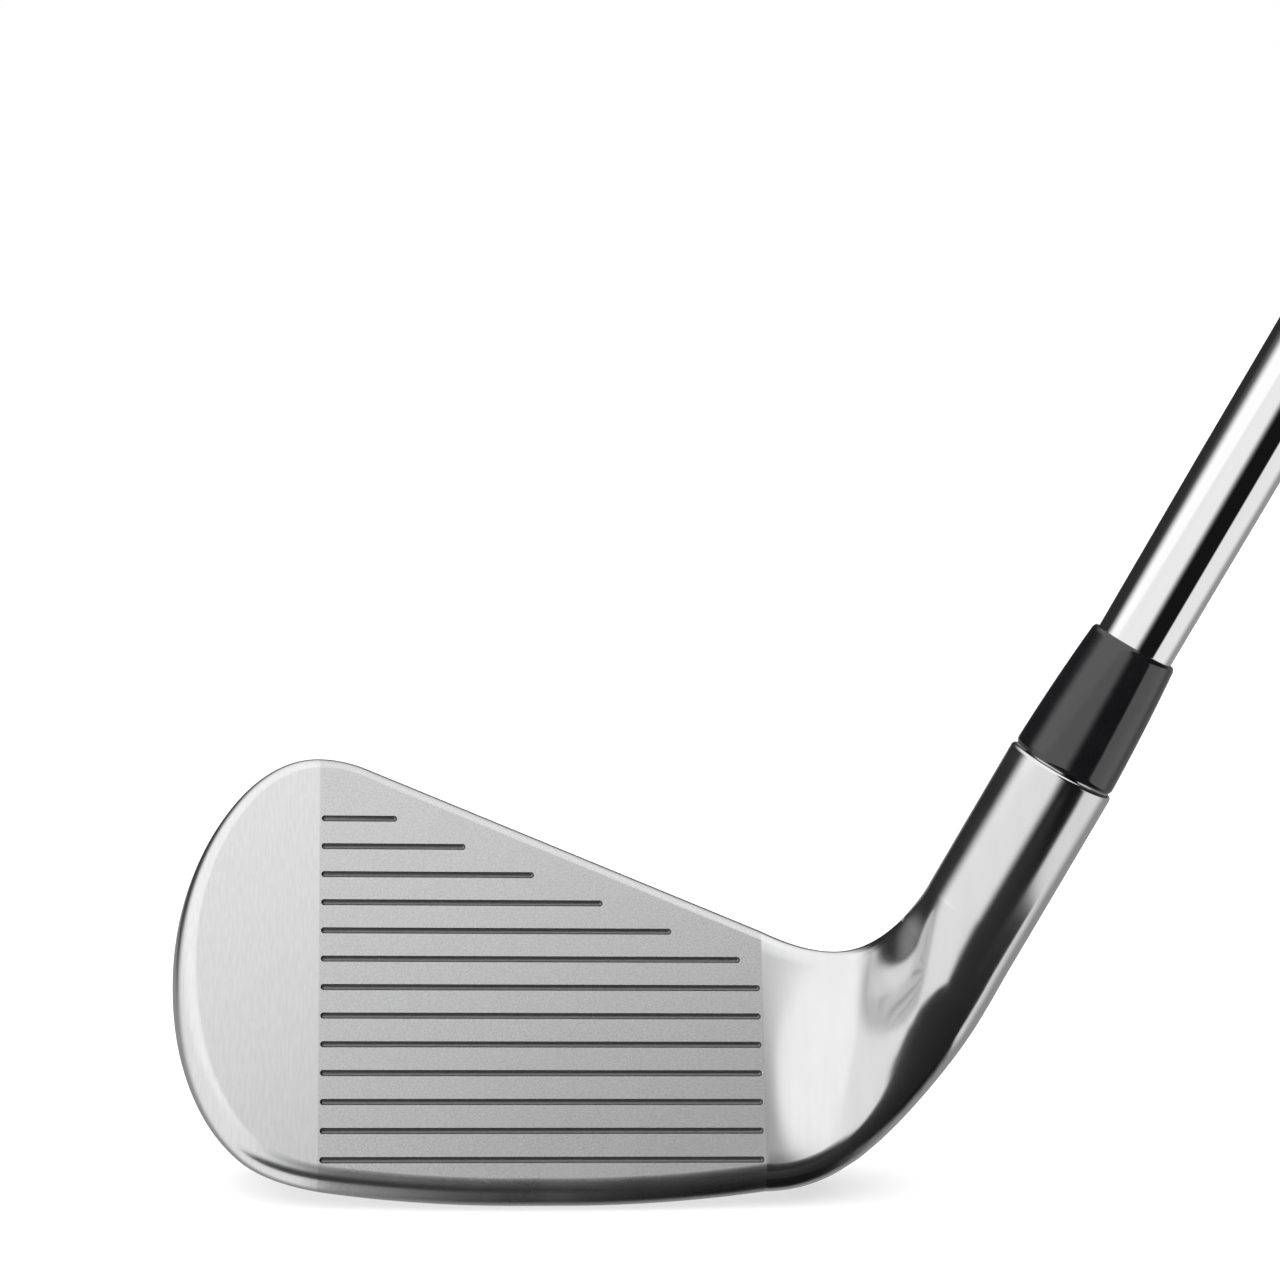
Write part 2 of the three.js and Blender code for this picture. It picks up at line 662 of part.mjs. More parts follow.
// ---------------------------------------------------------------- cuts in the head
// A flat outline given in the plane of the face, carried from depth from to depth to.
function facePrism(points, from, to) {
  const shape = new THREE.Shape(points.map((p) => new THREE.Vector2(p.x, p.y)));
  const geometry = new THREE.ExtrudeGeometry(shape, {
    depth: to - from,
    bevelEnabled: false,
    curveSegments: 4,
  });
  // Shape x and y are x and v, and the extrusion runs out of the face: turn it into the head.
  geometry.applyMatrix4(
    new THREE.Matrix4().makeBasis(
      vec(1, 0, 0),
      vec(0, Math.sin(LOFT), Math.cos(LOFT)),
      vec(0, -Math.cos(LOFT), Math.sin(LOFT)),
    ),
  );
  const start = facePoint(0, 0, to);
  return geometry.translate(start.x, start.y, start.z);
}

// A score line: a shallow trough, narrower at its floor.
const GROOVE_OVERCUT = 0.5; // how far its cutter stands out of the face
function grooveGeometry(v, fromX, toX) {
  const half = GROOVE_WIDTH / 2;
  const floor = GROOVE_FLOOR_WIDTH / 2;
  const wide = half + ((half - floor) * GROOVE_OVERCUT) / GROOVE_DEPTH;
  const profile = new THREE.Shape([
    new THREE.Vector2(-GROOVE_OVERCUT, -wide),
    new THREE.Vector2(GROOVE_DEPTH, -floor),
    new THREE.Vector2(GROOVE_DEPTH, floor),
    new THREE.Vector2(-GROOVE_OVERCUT, wide),
  ]);
  const geometry = new THREE.ExtrudeGeometry(profile, {
    depth: toX - fromX,
    bevelEnabled: false,
  });
  // Profile x is the depth, profile y is v, and the extrusion runs along x.
  geometry.applyMatrix4(
    new THREE.Matrix4().makeBasis(
      vec(0, Math.cos(LOFT), -Math.sin(LOFT)),
      vec(0, Math.sin(LOFT), Math.cos(LOFT)),
      vec(1, 0, 0),
    ),
  );
  const start = facePoint(fromX, v, 0);
  return geometry.translate(start.x, start.y, start.z);
}

// Where a score line ends short of the top line, and of the heel end of the lines.
function grooveEnd(v) {
  const toplineX = HEEL_X - (v - TOPLINE_HEEL_V) / Math.tan(TOPLINE_SLOPE);
  const margin = GROOVE_TOPLINE_MARGIN / Math.sin(TOPLINE_SLOPE);
  return Math.min(GROOVE_HEEL_X, toplineX - margin);
}

// A box from one corner to the other.
function boxGeometry(low, high) {
  const size = vec(...high).sub(vec(...low));
  const middle = vec(...high).add(vec(...low)).divideScalar(2);
  return new THREE.BoxGeometry(size.x, size.y, size.z).translate(middle.x, middle.y, middle.z);
}

// A rounded plate in the x-z plane, from y = front to y = back.
function platePrism(grow, front, back) {
  const left = PLATE_TOE_X - grow;
  const right = PLATE_HEEL_X + grow;
  const bottom = PLATE_BOTTOM_Z - grow;
  const top = PLATE_BOTTOM_Z + PLATE_HEIGHT + grow;
  const r = PLATE_CORNER + grow;
  const shape = new THREE.Shape();
  shape.moveTo(left + r, bottom);
  shape.lineTo(right - r, bottom);
  shape.absarc(right - r, bottom + r, r, -90 * DEG, 0);
  shape.absarc(right - r, top - r, r, 0, 90 * DEG);
  shape.absarc(left + r, top - r, r, 90 * DEG, 180 * DEG);
  shape.absarc(left + r, bottom + r, r, 180 * DEG, 270 * DEG);
  const geometry = new THREE.ExtrudeGeometry(shape, {
    depth: back - front,
    bevelEnabled: false,
    curveSegments: 4,
  });
  return geometry.rotateX(90 * DEG).translate(0, back, 0);
}

const PLATE_BACK_Y = MUSCLE_Y - PLATE_RECESS;
const PLATE_SEAT_Y = PLATE_BACK_Y - PLATE_THICKNESS - SEAT_GAP;
const PLATE_MIDDLE_Z = PLATE_BOTTOM_Z + PLATE_HEIGHT / 2;
const WEIGHT_INSET = (PLATE_HEIGHT - WEIGHT_HEIGHT) / 2; // ledge that the plate lies on

// The box that a weight fills, grown on every side; open takes it out through the plate's seat.
function weightBox(side, grow, open) {
  const length = WEIGHT_LENGTH[side];
  const toeX = side === "toe" ? PLATE_TOE_X + WEIGHT_INSET : PLATE_HEEL_X - WEIGHT_INSET - length;
  return boxGeometry(
    [toeX - grow, PLATE_SEAT_Y - WEIGHT_DEPTH - grow, PLATE_MIDDLE_Z - WEIGHT_HEIGHT / 2 - grow],
    [
      toeX + length + grow,
      open ? PLATE_SEAT_Y + SEAT_GAP : PLATE_SEAT_Y - SEAT_GAP,
      PLATE_MIDDLE_Z + WEIGHT_HEIGHT / 2 + grow,
    ],
  );
}

function headBody() {
  const cutters = [
    boxGeometry([TOE_X, FACE_Y - SOLE_DEPTH, -MARGIN], [AXIS_X + HEEL_X, MUSCLE_Y + MARGIN, 0]),
    platePrism(SEAT_GAP, PLATE_SEAT_Y, MUSCLE_Y + MARGIN),
    weightBox("toe", SEAT_GAP, true),
    weightBox("heel", SEAT_GAP, true),
  ];
  const toeX = TOPLINE_TOE_X - GROOVE_TOE_REACH;
  for (let v = GROOVE_LOWEST_V; grooveEnd(v) - toeX >= GROOVE_SHORTEST; v += GROOVE_PITCH)
    cutters.push(grooveGeometry(v, toeX, grooveEnd(v)));
  return cutters.reduce((body, cutter) => body.subtract(solidOf(cutter)), solidOf(headGeometry()));
}

// ---------------------------------------------------------------- cavity badge
// A sheet in the cavity, from one depth to another, with its edge kept clear of the wall.
function cavitySheet(margin, front, back) {
  const around = outline(TOPLINE_STEPS, TOE_STEPS, SOLE_STEPS);
  const loop = cavityLoop(CAVITY_WALL_DRAFT + margin, around, LINE_STEPS);
  return facePrism(loop, front, back);
}
const PAD_FRONT = CAVITY_FLOOR_DEPTH + SEAT_GAP;
const BADGE_FRONT = PAD_FRONT + PAD_THICKNESS + SEAT_GAP;

// ---------------------------------------------------------------- turned pieces on the shaft axis
// A profile of [radius, height along the axis] pairs, turned round the shaft axis.
function turned(profile, segments) {
  const geometry = new THREE.LatheGeometry(
    profile.map(([r, h]) => new THREE.Vector2(r, h)),
    segments,
  );
  geometry.rotateX(90 * DEG).rotateY(90 * DEG - LIE);
  return geometry.translate(AXIS_X, AXIS_Y, 0);
}

// A tube between an outer and an inner profile, both given from the bottom up.
const tube = (outer, inner, segments) =>
  turned([...outer, ...inner.toReversed(), outer[0]], segments);

const SHAFT_BOTTOM = HOSEL_TOP - SHAFT_INSERTION + 2 * SEAT_GAP;
const CAP_START = CLUB_LENGTH - GRIP_CAP_LENGTH;
const SHAFT_TOP = CAP_START - SEAT_GAP;
const GRIP_MOUTH = CLUB_LENGTH - GRIP_LENGTH;
const FIRST_STEP = GRIP_MOUTH - LAST_STEP_TO_GRIP - STEP_LENGTH - (SHAFT_STEPS - 1) * STEP_PITCH;
const TAPERED_DIAMETER = TIP_DIAMETER + TIP_TAPER * TIP_TAPER_LENGTH;
const STEP_GROWTH = (BUTT_DIAMETER - TAPERED_DIAMETER) / SHAFT_STEPS;

// Outer profile of the shaft, moved out by offset.
function shaftProfile(offset) {
  const profile = [
    [TIP_DIAMETER / 2 + offset, SHAFT_BOTTOM],
    [TAPERED_DIAMETER / 2 + offset, SHAFT_BOTTOM + TIP_TAPER_LENGTH],
  ];
  for (let i = 0; i < SHAFT_STEPS; i++) {
    const h = FIRST_STEP + i * STEP_PITCH;
    const r = (TAPERED_DIAMETER + i * STEP_GROWTH) / 2 + offset;
    profile.push([r, h], [r + STEP_GROWTH / 2, h + STEP_LENGTH]);
  }
  profile.push([BUTT_DIAMETER / 2 + offset, SHAFT_TOP]);
  return profile;
}
const shaftRadius = (h) =>
  TIP_DIAMETER / 2 + (Math.min(h - SHAFT_BOTTOM, TIP_TAPER_LENGTH) * TIP_TAPER) / 2;

// The ferrule tapers from the hosel's edge to a small lip round the shaft.
function ferruleGeometry() {
  const STEPS = 6;
  const bottom = HOSEL_TOP + SEAT_GAP;
  const top = bottom + FERRULE_LENGTH;
  const inner = [
    [shaftRadius(bottom) + SEAT_GAP, bottom],
    [shaftRadius(top) + SEAT_GAP, top],
  ];
  const low = HOSEL_RADIUS - FERRULE_STEP;
  const high = inner[1][0] + FERRULE_LIP;
  const outer = [[low - FERRULE_EDGE / 2, bottom]];
  for (let i = 0; i <= STEPS; i++) {
    const t = i / STEPS;
    const r = mix(low, high, t) + FERRULE_BULGE * 4 * t * (1 - t);
    outer.push([r, mix(bottom + FERRULE_EDGE, top - FERRULE_EDGE, t)]);
  }
  outer.push([high - FERRULE_EDGE / 2, top]);
  return tube(outer, inner, 32);
}

// The grip tapers from its mouth to its butt; the cap closes the end.
const TAPE_INNER = BUTT_DIAMETER / 2 + SEAT_GAP;
const TAPE_OUTER = TAPE_INNER + TAPE_THICKNESS;
const GRIP_END = CAP_START - SEAT_GAP;
const GRIP_BORE = TAPE_OUTER + SEAT_GAP;
const GRIP_MOUTH_RADIUS = GRIP_BORE + GRIP_MOUTH_WALL;
const CAP_RADIUS = GRIP_MOUTH_RADIUS + GRIP_SWELL + GRIP_RIM;
function gripGeometry() {
  const swollen = (share, along) => [
    GRIP_MOUTH_RADIUS + GRIP_SWELL * share,
    mix(GRIP_MOUTH, GRIP_END, along),
  ];
  const outer = [
    [GRIP_MOUTH_RADIUS - GRIP_EDGE / 2, GRIP_MOUTH],
    [GRIP_MOUTH_RADIUS, GRIP_MOUTH + GRIP_EDGE],
    swollen(0.36, 0.4),
    swollen(0.72, 0.75),
    swollen(1, 0.95),
    [CAP_RADIUS, GRIP_END],
  ];
  const inner = [
    [GRIP_BORE, GRIP_MOUTH],
    [GRIP_BORE, GRIP_END],
  ];
  return tube(outer, inner, 32);
}

function gripCapGeometry() {
  const plug = BUTT_DIAMETER / 2 - SHAFT_WALL - CAP_PLUG_CLEARANCE;
  const outer = [
    [plug, CAP_START - CAP_PLUG_LENGTH],
    [plug, CAP_START],
    [CAP_RADIUS, CAP_START],
    [CAP_RADIUS, mix(CAP_START, CLUB_LENGTH, 0.35)],
    [CAP_RADIUS * 0.94, mix(CAP_START, CLUB_LENGTH, 0.75)],
    [CAP_RADIUS * 0.78, CLUB_LENGTH],
  ];
  const inner = [
    [VENT_RADIUS, CAP_START - CAP_PLUG_LENGTH],
    [VENT_RADIUS, CLUB_LENGTH],
  ];
  return tube(outer, inner, 32);
}

function tapeGeometry() {
  const from = GRIP_MOUTH + TAPE_START;
  const to = GRIP_END - SEAT_GAP;
  const wall = (r) => [
    [r, from],
    [r, to],
  ];
  return tube(wall(TAPE_OUTER), wall(TAPE_INNER), 32);
}

// The printed band lies between two steps of the shaft.
const BAND_START = GRIP_MOUTH - LAST_STEP_TO_GRIP - STEP_LENGTH - (STEP_PITCH + BAND_LENGTH) / 2;
function bandGeometry() {
  const inner = (BUTT_DIAMETER - STEP_GROWTH) / 2 + SEAT_GAP / 2;
  const wall = (r) => [
    [r, BAND_START],
    [r, BAND_START + BAND_LENGTH],
  ];
  return tube(wall(inner + BAND_THICKNESS), wall(inner), 32);
}

function tipWeightGeometry() {
  const r = TIP_DIAMETER / 2 - SHAFT_WALL - SEAT_GAP;
  const bottom = SHAFT_BOTTOM;
  return turned(
    [
      [0, bottom],
      [r, bottom],
      [r, bottom + TIP_WEIGHT_LENGTH],
      [0, bottom + TIP_WEIGHT_LENGTH],
    ],
    24,
  );
}

// ---------------------------------------------------------------- the club
const SHAFT_SEGMENTS = 32;
const shaftTube = tube(shaftProfile(0), shaftProfile(-SHAFT_WALL), SHAFT_SEGMENTS);
const club = new THREE.Group();
club.add(
  piece("head_body", geometryFrom(headBody()), forgedSteel),
  piece("toe_weight", weightBox("toe", 0, false), tungsten),
  piece("heel_weight", weightBox("heel", 0, false), tungsten),
  piece("muscle_plate", platePrism(0, PLATE_SEAT_Y + SEAT_GAP, PLATE_BACK_Y), nickelPlate),
  piece(
    "badge_pad",
    cavitySheet(BADGE_MARGIN, PAD_FRONT, PAD_FRONT + PAD_THICKNESS),
    foam,
  ),
  piece(
    "cavity_badge",
    cavitySheet(BADGE_MARGIN, BADGE_FRONT, BADGE_FRONT + BADGE_THICKNESS),
    nickelPlate,
  ),
  piece("ferrule", ferruleGeometry(), blackPlastic),
  piece("shaft", shaftTube, polishedSteel),
  piece("tip_weight", tipWeightGeometry(), brass),
  piece("shaft_band", bandGeometry(), foil),
  piece("grip_tape", tapeGeometry(), tape),
  piece("grip", gripGeometry(), blackRubber),
  piece("grip_cap", gripCapGeometry(), blackRubber),
);
export default club;
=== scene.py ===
# %% [markdown]
# # A golf iron at address
# A mid iron stands with its sole on the ground, its face towards us and its shaft leaning to the
# right. The head is forged steel. Sand-blasted steel surrounds the score lines, the toe is brushed
# and the hosel is polished. A black ferrule covers the joint with a chromed shaft, and a rubber grip
# closes the other end. Thirteen pieces make the club. Those that show get a finer surface here than
# their plain solids have, and those inside keep theirs.

import math

import bmesh
import bpy
import numpy as np
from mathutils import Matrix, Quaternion, Vector


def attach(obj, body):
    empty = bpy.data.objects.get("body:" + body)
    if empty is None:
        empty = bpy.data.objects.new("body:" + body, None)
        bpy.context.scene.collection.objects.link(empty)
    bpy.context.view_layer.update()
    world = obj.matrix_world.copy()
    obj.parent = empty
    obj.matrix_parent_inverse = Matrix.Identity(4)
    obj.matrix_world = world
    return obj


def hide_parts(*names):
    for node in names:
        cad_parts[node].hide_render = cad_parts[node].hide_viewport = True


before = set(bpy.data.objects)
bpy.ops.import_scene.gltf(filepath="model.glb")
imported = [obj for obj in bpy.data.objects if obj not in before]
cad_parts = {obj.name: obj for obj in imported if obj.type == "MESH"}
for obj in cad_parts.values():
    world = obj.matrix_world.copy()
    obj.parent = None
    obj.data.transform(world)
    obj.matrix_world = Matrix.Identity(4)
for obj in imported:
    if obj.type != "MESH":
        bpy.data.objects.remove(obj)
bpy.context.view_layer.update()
print("solids:", ", ".join(sorted(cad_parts)))

# %% [markdown]
# ## Sizes
# Millimetres suit a club, and Blender works in metres, so every length below is in millimetres and
# is turned into metres once, when a mesh is made. The loft leans the face back and the lie leans the
# shaft. All the other numbers are sizes that a maker would find on a drawing of the head.

# %% Driving sizes in millimetres
MM = 0.001
LOFT, LIE = math.radians(28), math.radians(62)
AXIS_X, AXIS_Y = 31.15, -4.8  # where the shaft axis meets the ground
FACE_Y = -10.05  # where the plane of the face meets the ground
HEEL_X = 26.0  # end of the flat face
TOPLINE_HEEL_V, TOPLINE_SLOPE, TOPLINE_LENGTH = 34.1, math.radians(22.7), 50.4
TOE_BENDS = [(-26.1, 54.7, 180), (-35.7, 49.25, 231.5), (-42.4, 28.2, 270), (-34.7, 6.2, 318.5)]
SOLE_TOE_X, SOLE_EDGE_HEIGHT, SOLE_FLAT, SOLE_RADIUS = -24.4, 0.75, 6.0, 180.0
TOPLINE_DEPTH, SOLE_DEPTH, SOLE_HEEL_DEPTH = 6.2, 17.6, 15.8
PLATE_TOE_X, PLATE_HEEL_X = -26.0, 12.0
HOSEL_RADIUS, HOSEL_START, ROUND_FROM, HOSEL_TOP = 6.5, 34.7, 40.0, 59.2
GROOVES, GROOVE_PITCH, GROOVE_LOWEST_V = 13, 3.375, 6.8
CLUB_LENGTH = 965.0
SEAT_GAP = 0.2  # clearance between a piece and what it sits in or on


def face_point(x, v, w=0.0):
    """A point given by x, by v up the face and by w into the head."""
    sin, cos = math.sin(LOFT), math.cos(LOFT)
    return np.array([x, FACE_Y + v * sin + w * cos, v * cos - w * sin])


def axis_point(h, across=0.0, y=0.0):
    """A point h up the shaft axis from the ground, moved across it towards the heel and along y."""
    sin, cos = math.sin(LIE), math.cos(LIE)
    return np.array([AXIS_X + h * cos + across * sin, AXIS_Y + y, h * sin - across * cos])


print("the grip ends", round(axis_point(CLUB_LENGTH)[2]), "mm above the ground")

# %% [markdown]
# ## Turning points into a mesh
# Most pieces of the head are rows of points with faces between them, like the courses of a hull.
# A small builder collects the rows, and points that two patches share are merged afterwards, so the
# result is one closed skin. Blender works out the outward side of a closed skin by itself.

# %% A builder for closed skins
SHARP_ANGLE = 30.0  # edges that turn by more degrees than this stay sharp
WELD = 0.0005  # points closer than this are merged


def mix(a, b, t):
    return a + (b - a) * t


def smooth(t):
    t = min(1.0, max(0.0, t))
    return t * t * (3 - 2 * t)


class Skin:
    """Collects faces as lists of points."""

    def __init__(self):
        self.points, self.faces = [], []

    def face(self, corners):
        start = len(self.points)
        self.points.extend(corners)
        self.faces.append(range(start, start + len(corners)))

    def rows(self, rows, closed=False):
        for low, high in zip(rows, rows[1:]):
            count = len(low)
            for i in range(count if closed else count - 1):
                n = (i + 1) % count
                self.face([low[i], high[i], high[n], low[n]])

    def object(self, name, material):
        mesh = bpy.data.meshes.new(name)
        mesh.from_pydata([tuple(p * MM) for p in self.points], [], [list(f) for f in self.faces])
        work = bmesh.new()
        work.from_mesh(mesh)
        bmesh.ops.remove_doubles(work, verts=work.verts, dist=WELD * MM)
        bmesh.ops.dissolve_degenerate(work, edges=work.edges, dist=WELD * MM)
        bmesh.ops.recalc_face_normals(work, faces=work.faces)
        work.to_mesh(mesh)
        work.free()
        return finish_mesh(name, mesh, material)


def finish_mesh(name, mesh, material):
    mesh.shade_smooth()
    mesh.set_sharp_from_angle(angle=math.radians(SHARP_ANGLE))
    if material is not None:
        mesh.materials.clear()
        mesh.materials.append(material)
    made = bpy.data.objects.new(name, mesh)
    bpy.context.scene.collection.objects.link(made)
    work = bmesh.new()
    work.from_mesh(mesh)
    open_edges = sum(not e.is_manifold for e in work.edges)
    work.free()
    print(f"{name}: {len(mesh.polygons)} faces, {open_edges} open edges")
    return made

# %% [markdown]
# ## Effects that several finishes share
# Real metal is never one even tone. Brushing leaves fine parallel scratches, blasting leaves a
# frosting of tiny pits, and handling leaves faint smudges that change the gloss more than the
# colour. Each effect is a node group, built once and reused with its own values, so that every
# finish of the club ages in the same way.

# %% A small kit for node trees
def add_node(tree, kind, inputs=None, **settings):
    """Adds a node. Inputs are given by name or number, as values or as another node's output."""
    node = tree.nodes.new(kind)
    for key, value in settings.items():
        setattr(node, key, value)
    for key, value in (inputs or {}).items():
        socket = node.inputs[key]
        if isinstance(value, bpy.types.NodeSocket):
            tree.links.new(value, socket)
        else:
            socket.default_value = value
    return node


def new_group(name, inputs, outputs, kind="ShaderNodeTree"):
    """A node group with named sockets: returns it with its input and output nodes."""
    group = bpy.data.node_groups.new(name, kind)
    for side, sockets in (("INPUT", inputs), ("OUTPUT", outputs)):
        for label, socket_type, *default in sockets:
            made = group.interface.new_socket(label, in_out=side, socket_type=socket_type)
            if default:
                made.default_value = default[0]
    return group, group.nodes.new("NodeGroupInput"), group.nodes.new("NodeGroupOutput")


FLOAT, VECTOR = "NodeSocketFloat", "NodeSocketVector"
GEOMETRY, MATERIAL = "NodeSocketGeometry", "NodeSocketMaterial"


def maths(tree, operation, *values):
    return add_node(tree, "ShaderNodeMath", dict(enumerate(values)), operation=operation).outputs[0]


def vector_maths(tree, operation, *values, output="Vector"):
    made = add_node(tree, "ShaderNodeVectorMath", dict(enumerate(values)), operation=operation)
    return made.outputs[output]


def xyz(tree, *parts):
    """A vector from its parts. Those left out are zero."""
    return add_node(tree, "ShaderNodeCombineXYZ", dict(enumerate(parts))).outputs[0]


def ramp(tree, value, start, end, low=0.0, high=1.0):
    """low up to start, high from end on, and an even change between them."""
    inputs = {"Value": value, "From Min": start, "From Max": end, "To Min": low, "To Max": high}
    return add_node(tree, "ShaderNodeMapRange", inputs, interpolation_type="SMOOTHSTEP").outputs[0]


def noise(tree, vector, scale, detail=3.0, roughness=0.55):
    inputs = {"Vector": vector, "Scale": scale, "Detail": detail, "Roughness": roughness}
    return add_node(tree, "ShaderNodeTexNoise", inputs).outputs["Fac"]


# %% [markdown]
# ### Brushing, blasting and smudges
# A scratch is a noise stretched up to a hundred times along the brushing direction. A blasted skin
# is a fine noise with a coarser one under it. A smudge is a broad, soft cloud. Coordinates are the
# object's own, in metres, so a scale of 1000 makes details about a millimetre wide.

# %% Shared groups
def brushing_group():
    group, given, out = new_group(
        "brushed scratches",
        [("Vector", VECTOR), ("Turn", VECTOR), ("Scale", FLOAT, 1500.0), ("Stretch", VECTOR, (1, 1, 1))],
        [("Scratches", FLOAT), ("Bands", FLOAT)],
    )
    turned = add_node(group, "ShaderNodeVectorRotate", {"Vector": given.outputs["Vector"],
                      "Rotation": given.outputs["Turn"]}, rotation_type="EULER_XYZ").outputs[0]
    drawn = vector_maths(group, "MULTIPLY", turned, given.outputs["Stretch"])
    scale = given.outputs["Scale"]
    fine = noise(group, drawn, scale, 2.0)
    broad = noise(group, drawn, maths(group, "MULTIPLY", scale, 0.12), 3.0)
    group.links.new(ramp(group, fine, 0.3, 0.7), out.inputs["Scratches"])
    group.links.new(ramp(group, broad, 0.3, 0.7), out.inputs["Bands"])
    return group


def grain_group():
    group, given, out = new_group(
        "fine grain", [("Vector", VECTOR), ("Scale", FLOAT, 4000.0)], [("Grain", FLOAT), ("Mottle", FLOAT)]
    )
    vector, scale = given.outputs["Vector"], given.outputs["Scale"]
    fine = noise(group, vector, scale, 2.0, 0.7)
    mottle = noise(group, vector, maths(group, "MULTIPLY", scale, 0.08), 4.0, 0.6)
    group.links.new(fine, out.inputs["Grain"])
    group.links.new(ramp(group, mottle, 0.3, 0.7), out.inputs["Mottle"])
    return group


def smudge_group():
    group, given, out = new_group(
        "handling smudges", [("Vector", VECTOR), ("Scale", FLOAT, 60.0), ("Amount", FLOAT, 0.2)],
        [("Smudge", FLOAT)]
    )
    cloud = noise(group, given.outputs["Vector"], given.outputs["Scale"], 5.0, 0.6)
    spots = ramp(group, cloud, 0.48, 0.72)
    group.links.new(maths(group, "MULTIPLY", spots, given.outputs["Amount"]), out.inputs["Smudge"])
    return group


brushing, grain, smudges = brushing_group(), grain_group(), smudge_group()
print("shared effects:", brushing.name, "|", grain.name, "|", smudges.name)


def use_group(tree, group, **inputs):
    """Places a shared group. An input's name is given in lower case."""
    return add_node(tree, "ShaderNodeGroup", {k.capitalize(): v for k, v in inputs.items()},
                    node_tree=group).outputs


# %% A finish starts as a named material
def new_finish(name, color, roughness, metallic=0.0, **more):
    """A material with a Principled BSDF: returns it, its tree, its shader and object coordinates."""
    finish = bpy.data.materials.new(name)
    finish.use_nodes = True
    finish.diffuse_color = (*color, 1)
    tree = finish.node_tree
    shader = tree.nodes["Principled BSDF"]
    shader.inputs["Base Color"].default_value = (*color, 1)
    shader.inputs["Roughness"].default_value = roughness
    shader.inputs["Metallic"].default_value = metallic
    for label, value in more.items():
        shader.inputs[label.replace("_", " ")].default_value = value
    place = tree.nodes.new("ShaderNodeTexCoord").outputs["Object"]
    return finish, tree, shader, place


def tone(tree, mask, dark, light):
    """A colour that goes from dark to light with a mask."""
    return add_node(tree, "ShaderNodeMix", {"Factor": mask, 6: (*dark, 1), 7: (*light, 1)},
                    data_type="RGBA").outputs[2]


def blend_tones(tree, mask, a, b):
    return add_node(tree, "ShaderNodeMix", {"Factor": mask, 6: a, 7: b}, data_type="RGBA").outputs[2]


def drive(tree, shader, color, roughness=None):
    """Links what gives a finish its colour, and its roughness if that varies, to the shader."""
    tree.links.new(color, shader.inputs["Base Color"])
    if roughness is not None:
        tree.links.new(roughness, shader.inputs["Roughness"])


def bump(tree, shader, height, distance):
    """Raises the surface by a height field: distance is its depth in metres."""
    made = add_node(tree, "ShaderNodeBump", {"Height": height, "Distance": distance})
    tree.links.new(made.outputs["Normal"], shader.inputs["Normal"])

# %% [markdown]
# ## The steel of the head
# One piece of steel carries three finishes. A mask made from the place on the head decides which
# one shows: a distance from the plane of the face keeps the blasting on the front, and x keeps it
# between the two ends of the score lines. The toe is brushed up and down the face. The hosel and
# the back are polished to a satin.

# %% Steel of the head
BLASTED_TOE_X, BLASTED_HEEL_X, BLASTED_DEPTH = -25.95, 26.05, 2.9


def head_zones_group():
    zones = [("Blasted", FLOAT), ("Toe", FLOAT)]
    group, given, out = new_group("finish zones", [("Vector", VECTOR)], zones)
    vector = given.outputs["Vector"]
    square = (0, math.cos(LOFT), -math.sin(LOFT))
    depth = vector_maths(group, "DOT_PRODUCT", vector, square, output="Value")
    depth = maths(group, "SUBTRACT", depth, FACE_Y * math.cos(LOFT) * MM)
    x = add_node(group, "ShaderNodeSeparateXYZ", {0: vector}).outputs["X"]
    line = 0.12 * MM  # how sharply the mask's tape ended
    front = ramp(group, depth, BLASTED_DEPTH * MM, (BLASTED_DEPTH + 0.3) * MM, 1.0, 0.0)
    from_toe = ramp(group, x, BLASTED_TOE_X * MM - line, BLASTED_TOE_X * MM + line)
    to_heel = ramp(group, x, BLASTED_HEEL_X * MM - line, BLASTED_HEEL_X * MM + line, 1.0, 0.0)
    toe = maths(group, "MULTIPLY", front, maths(group, "SUBTRACT", 1.0, from_toe))
    middle = maths(group, "MULTIPLY", maths(group, "MULTIPLY", front, from_toe), to_heel)
    group.links.new(middle, out.inputs["Blasted"])
    group.links.new(toe, out.inputs["Toe"])
    return group


def head_steel():
    finish, tree, shader, place = new_finish("forged steel", (0.75, 0.75, 0.755), 0.2, 1.0)
    zones = use_group(tree, head_zones_group(), vector=place)
    scratches = use_group(tree, brushing, vector=place, turn=(-LOFT, 0, 0), scale=3800.0,
                          stretch=(1.0, 0.2, 0.01))
    pits = use_group(tree, grain, vector=place, scale=5200.0)
    smudge = use_group(tree, smudges, vector=place, scale=45.0, amount=0.05)["Smudge"]
    satin = tone(tree, scratches["Bands"], (0.76, 0.76, 0.765), (0.79, 0.79, 0.795))
    brushed = tone(tree, scratches["Scratches"], (0.78, 0.78, 0.785), (0.82, 0.82, 0.825))
    frosted = tone(tree, pits["Grain"], (0.52, 0.52, 0.525), (0.82, 0.82, 0.825))
    color = blend_tones(tree, zones["Blasted"], blend_tones(tree, zones["Toe"], satin, brushed), frosted)
    gloss = maths(tree, "ADD", maths(tree, "MULTIPLY", zones["Blasted"], 0.11),
                  maths(tree, "MULTIPLY", zones["Toe"], 0.1))
    drive(tree, shader, color, maths(tree, "ADD", maths(tree, "ADD", gloss, 0.15), smudge))
    relief = maths(tree, "MULTIPLY", pits["Grain"], zones["Blasted"])
    lines = maths(tree, "MULTIPLY", scratches["Scratches"], maths(tree, "MULTIPLY", zones["Toe"], 0.1))
    bump(tree, shader, maths(tree, "ADD", relief, lines), 0.004 * MM)
    return finish


steel = head_steel()

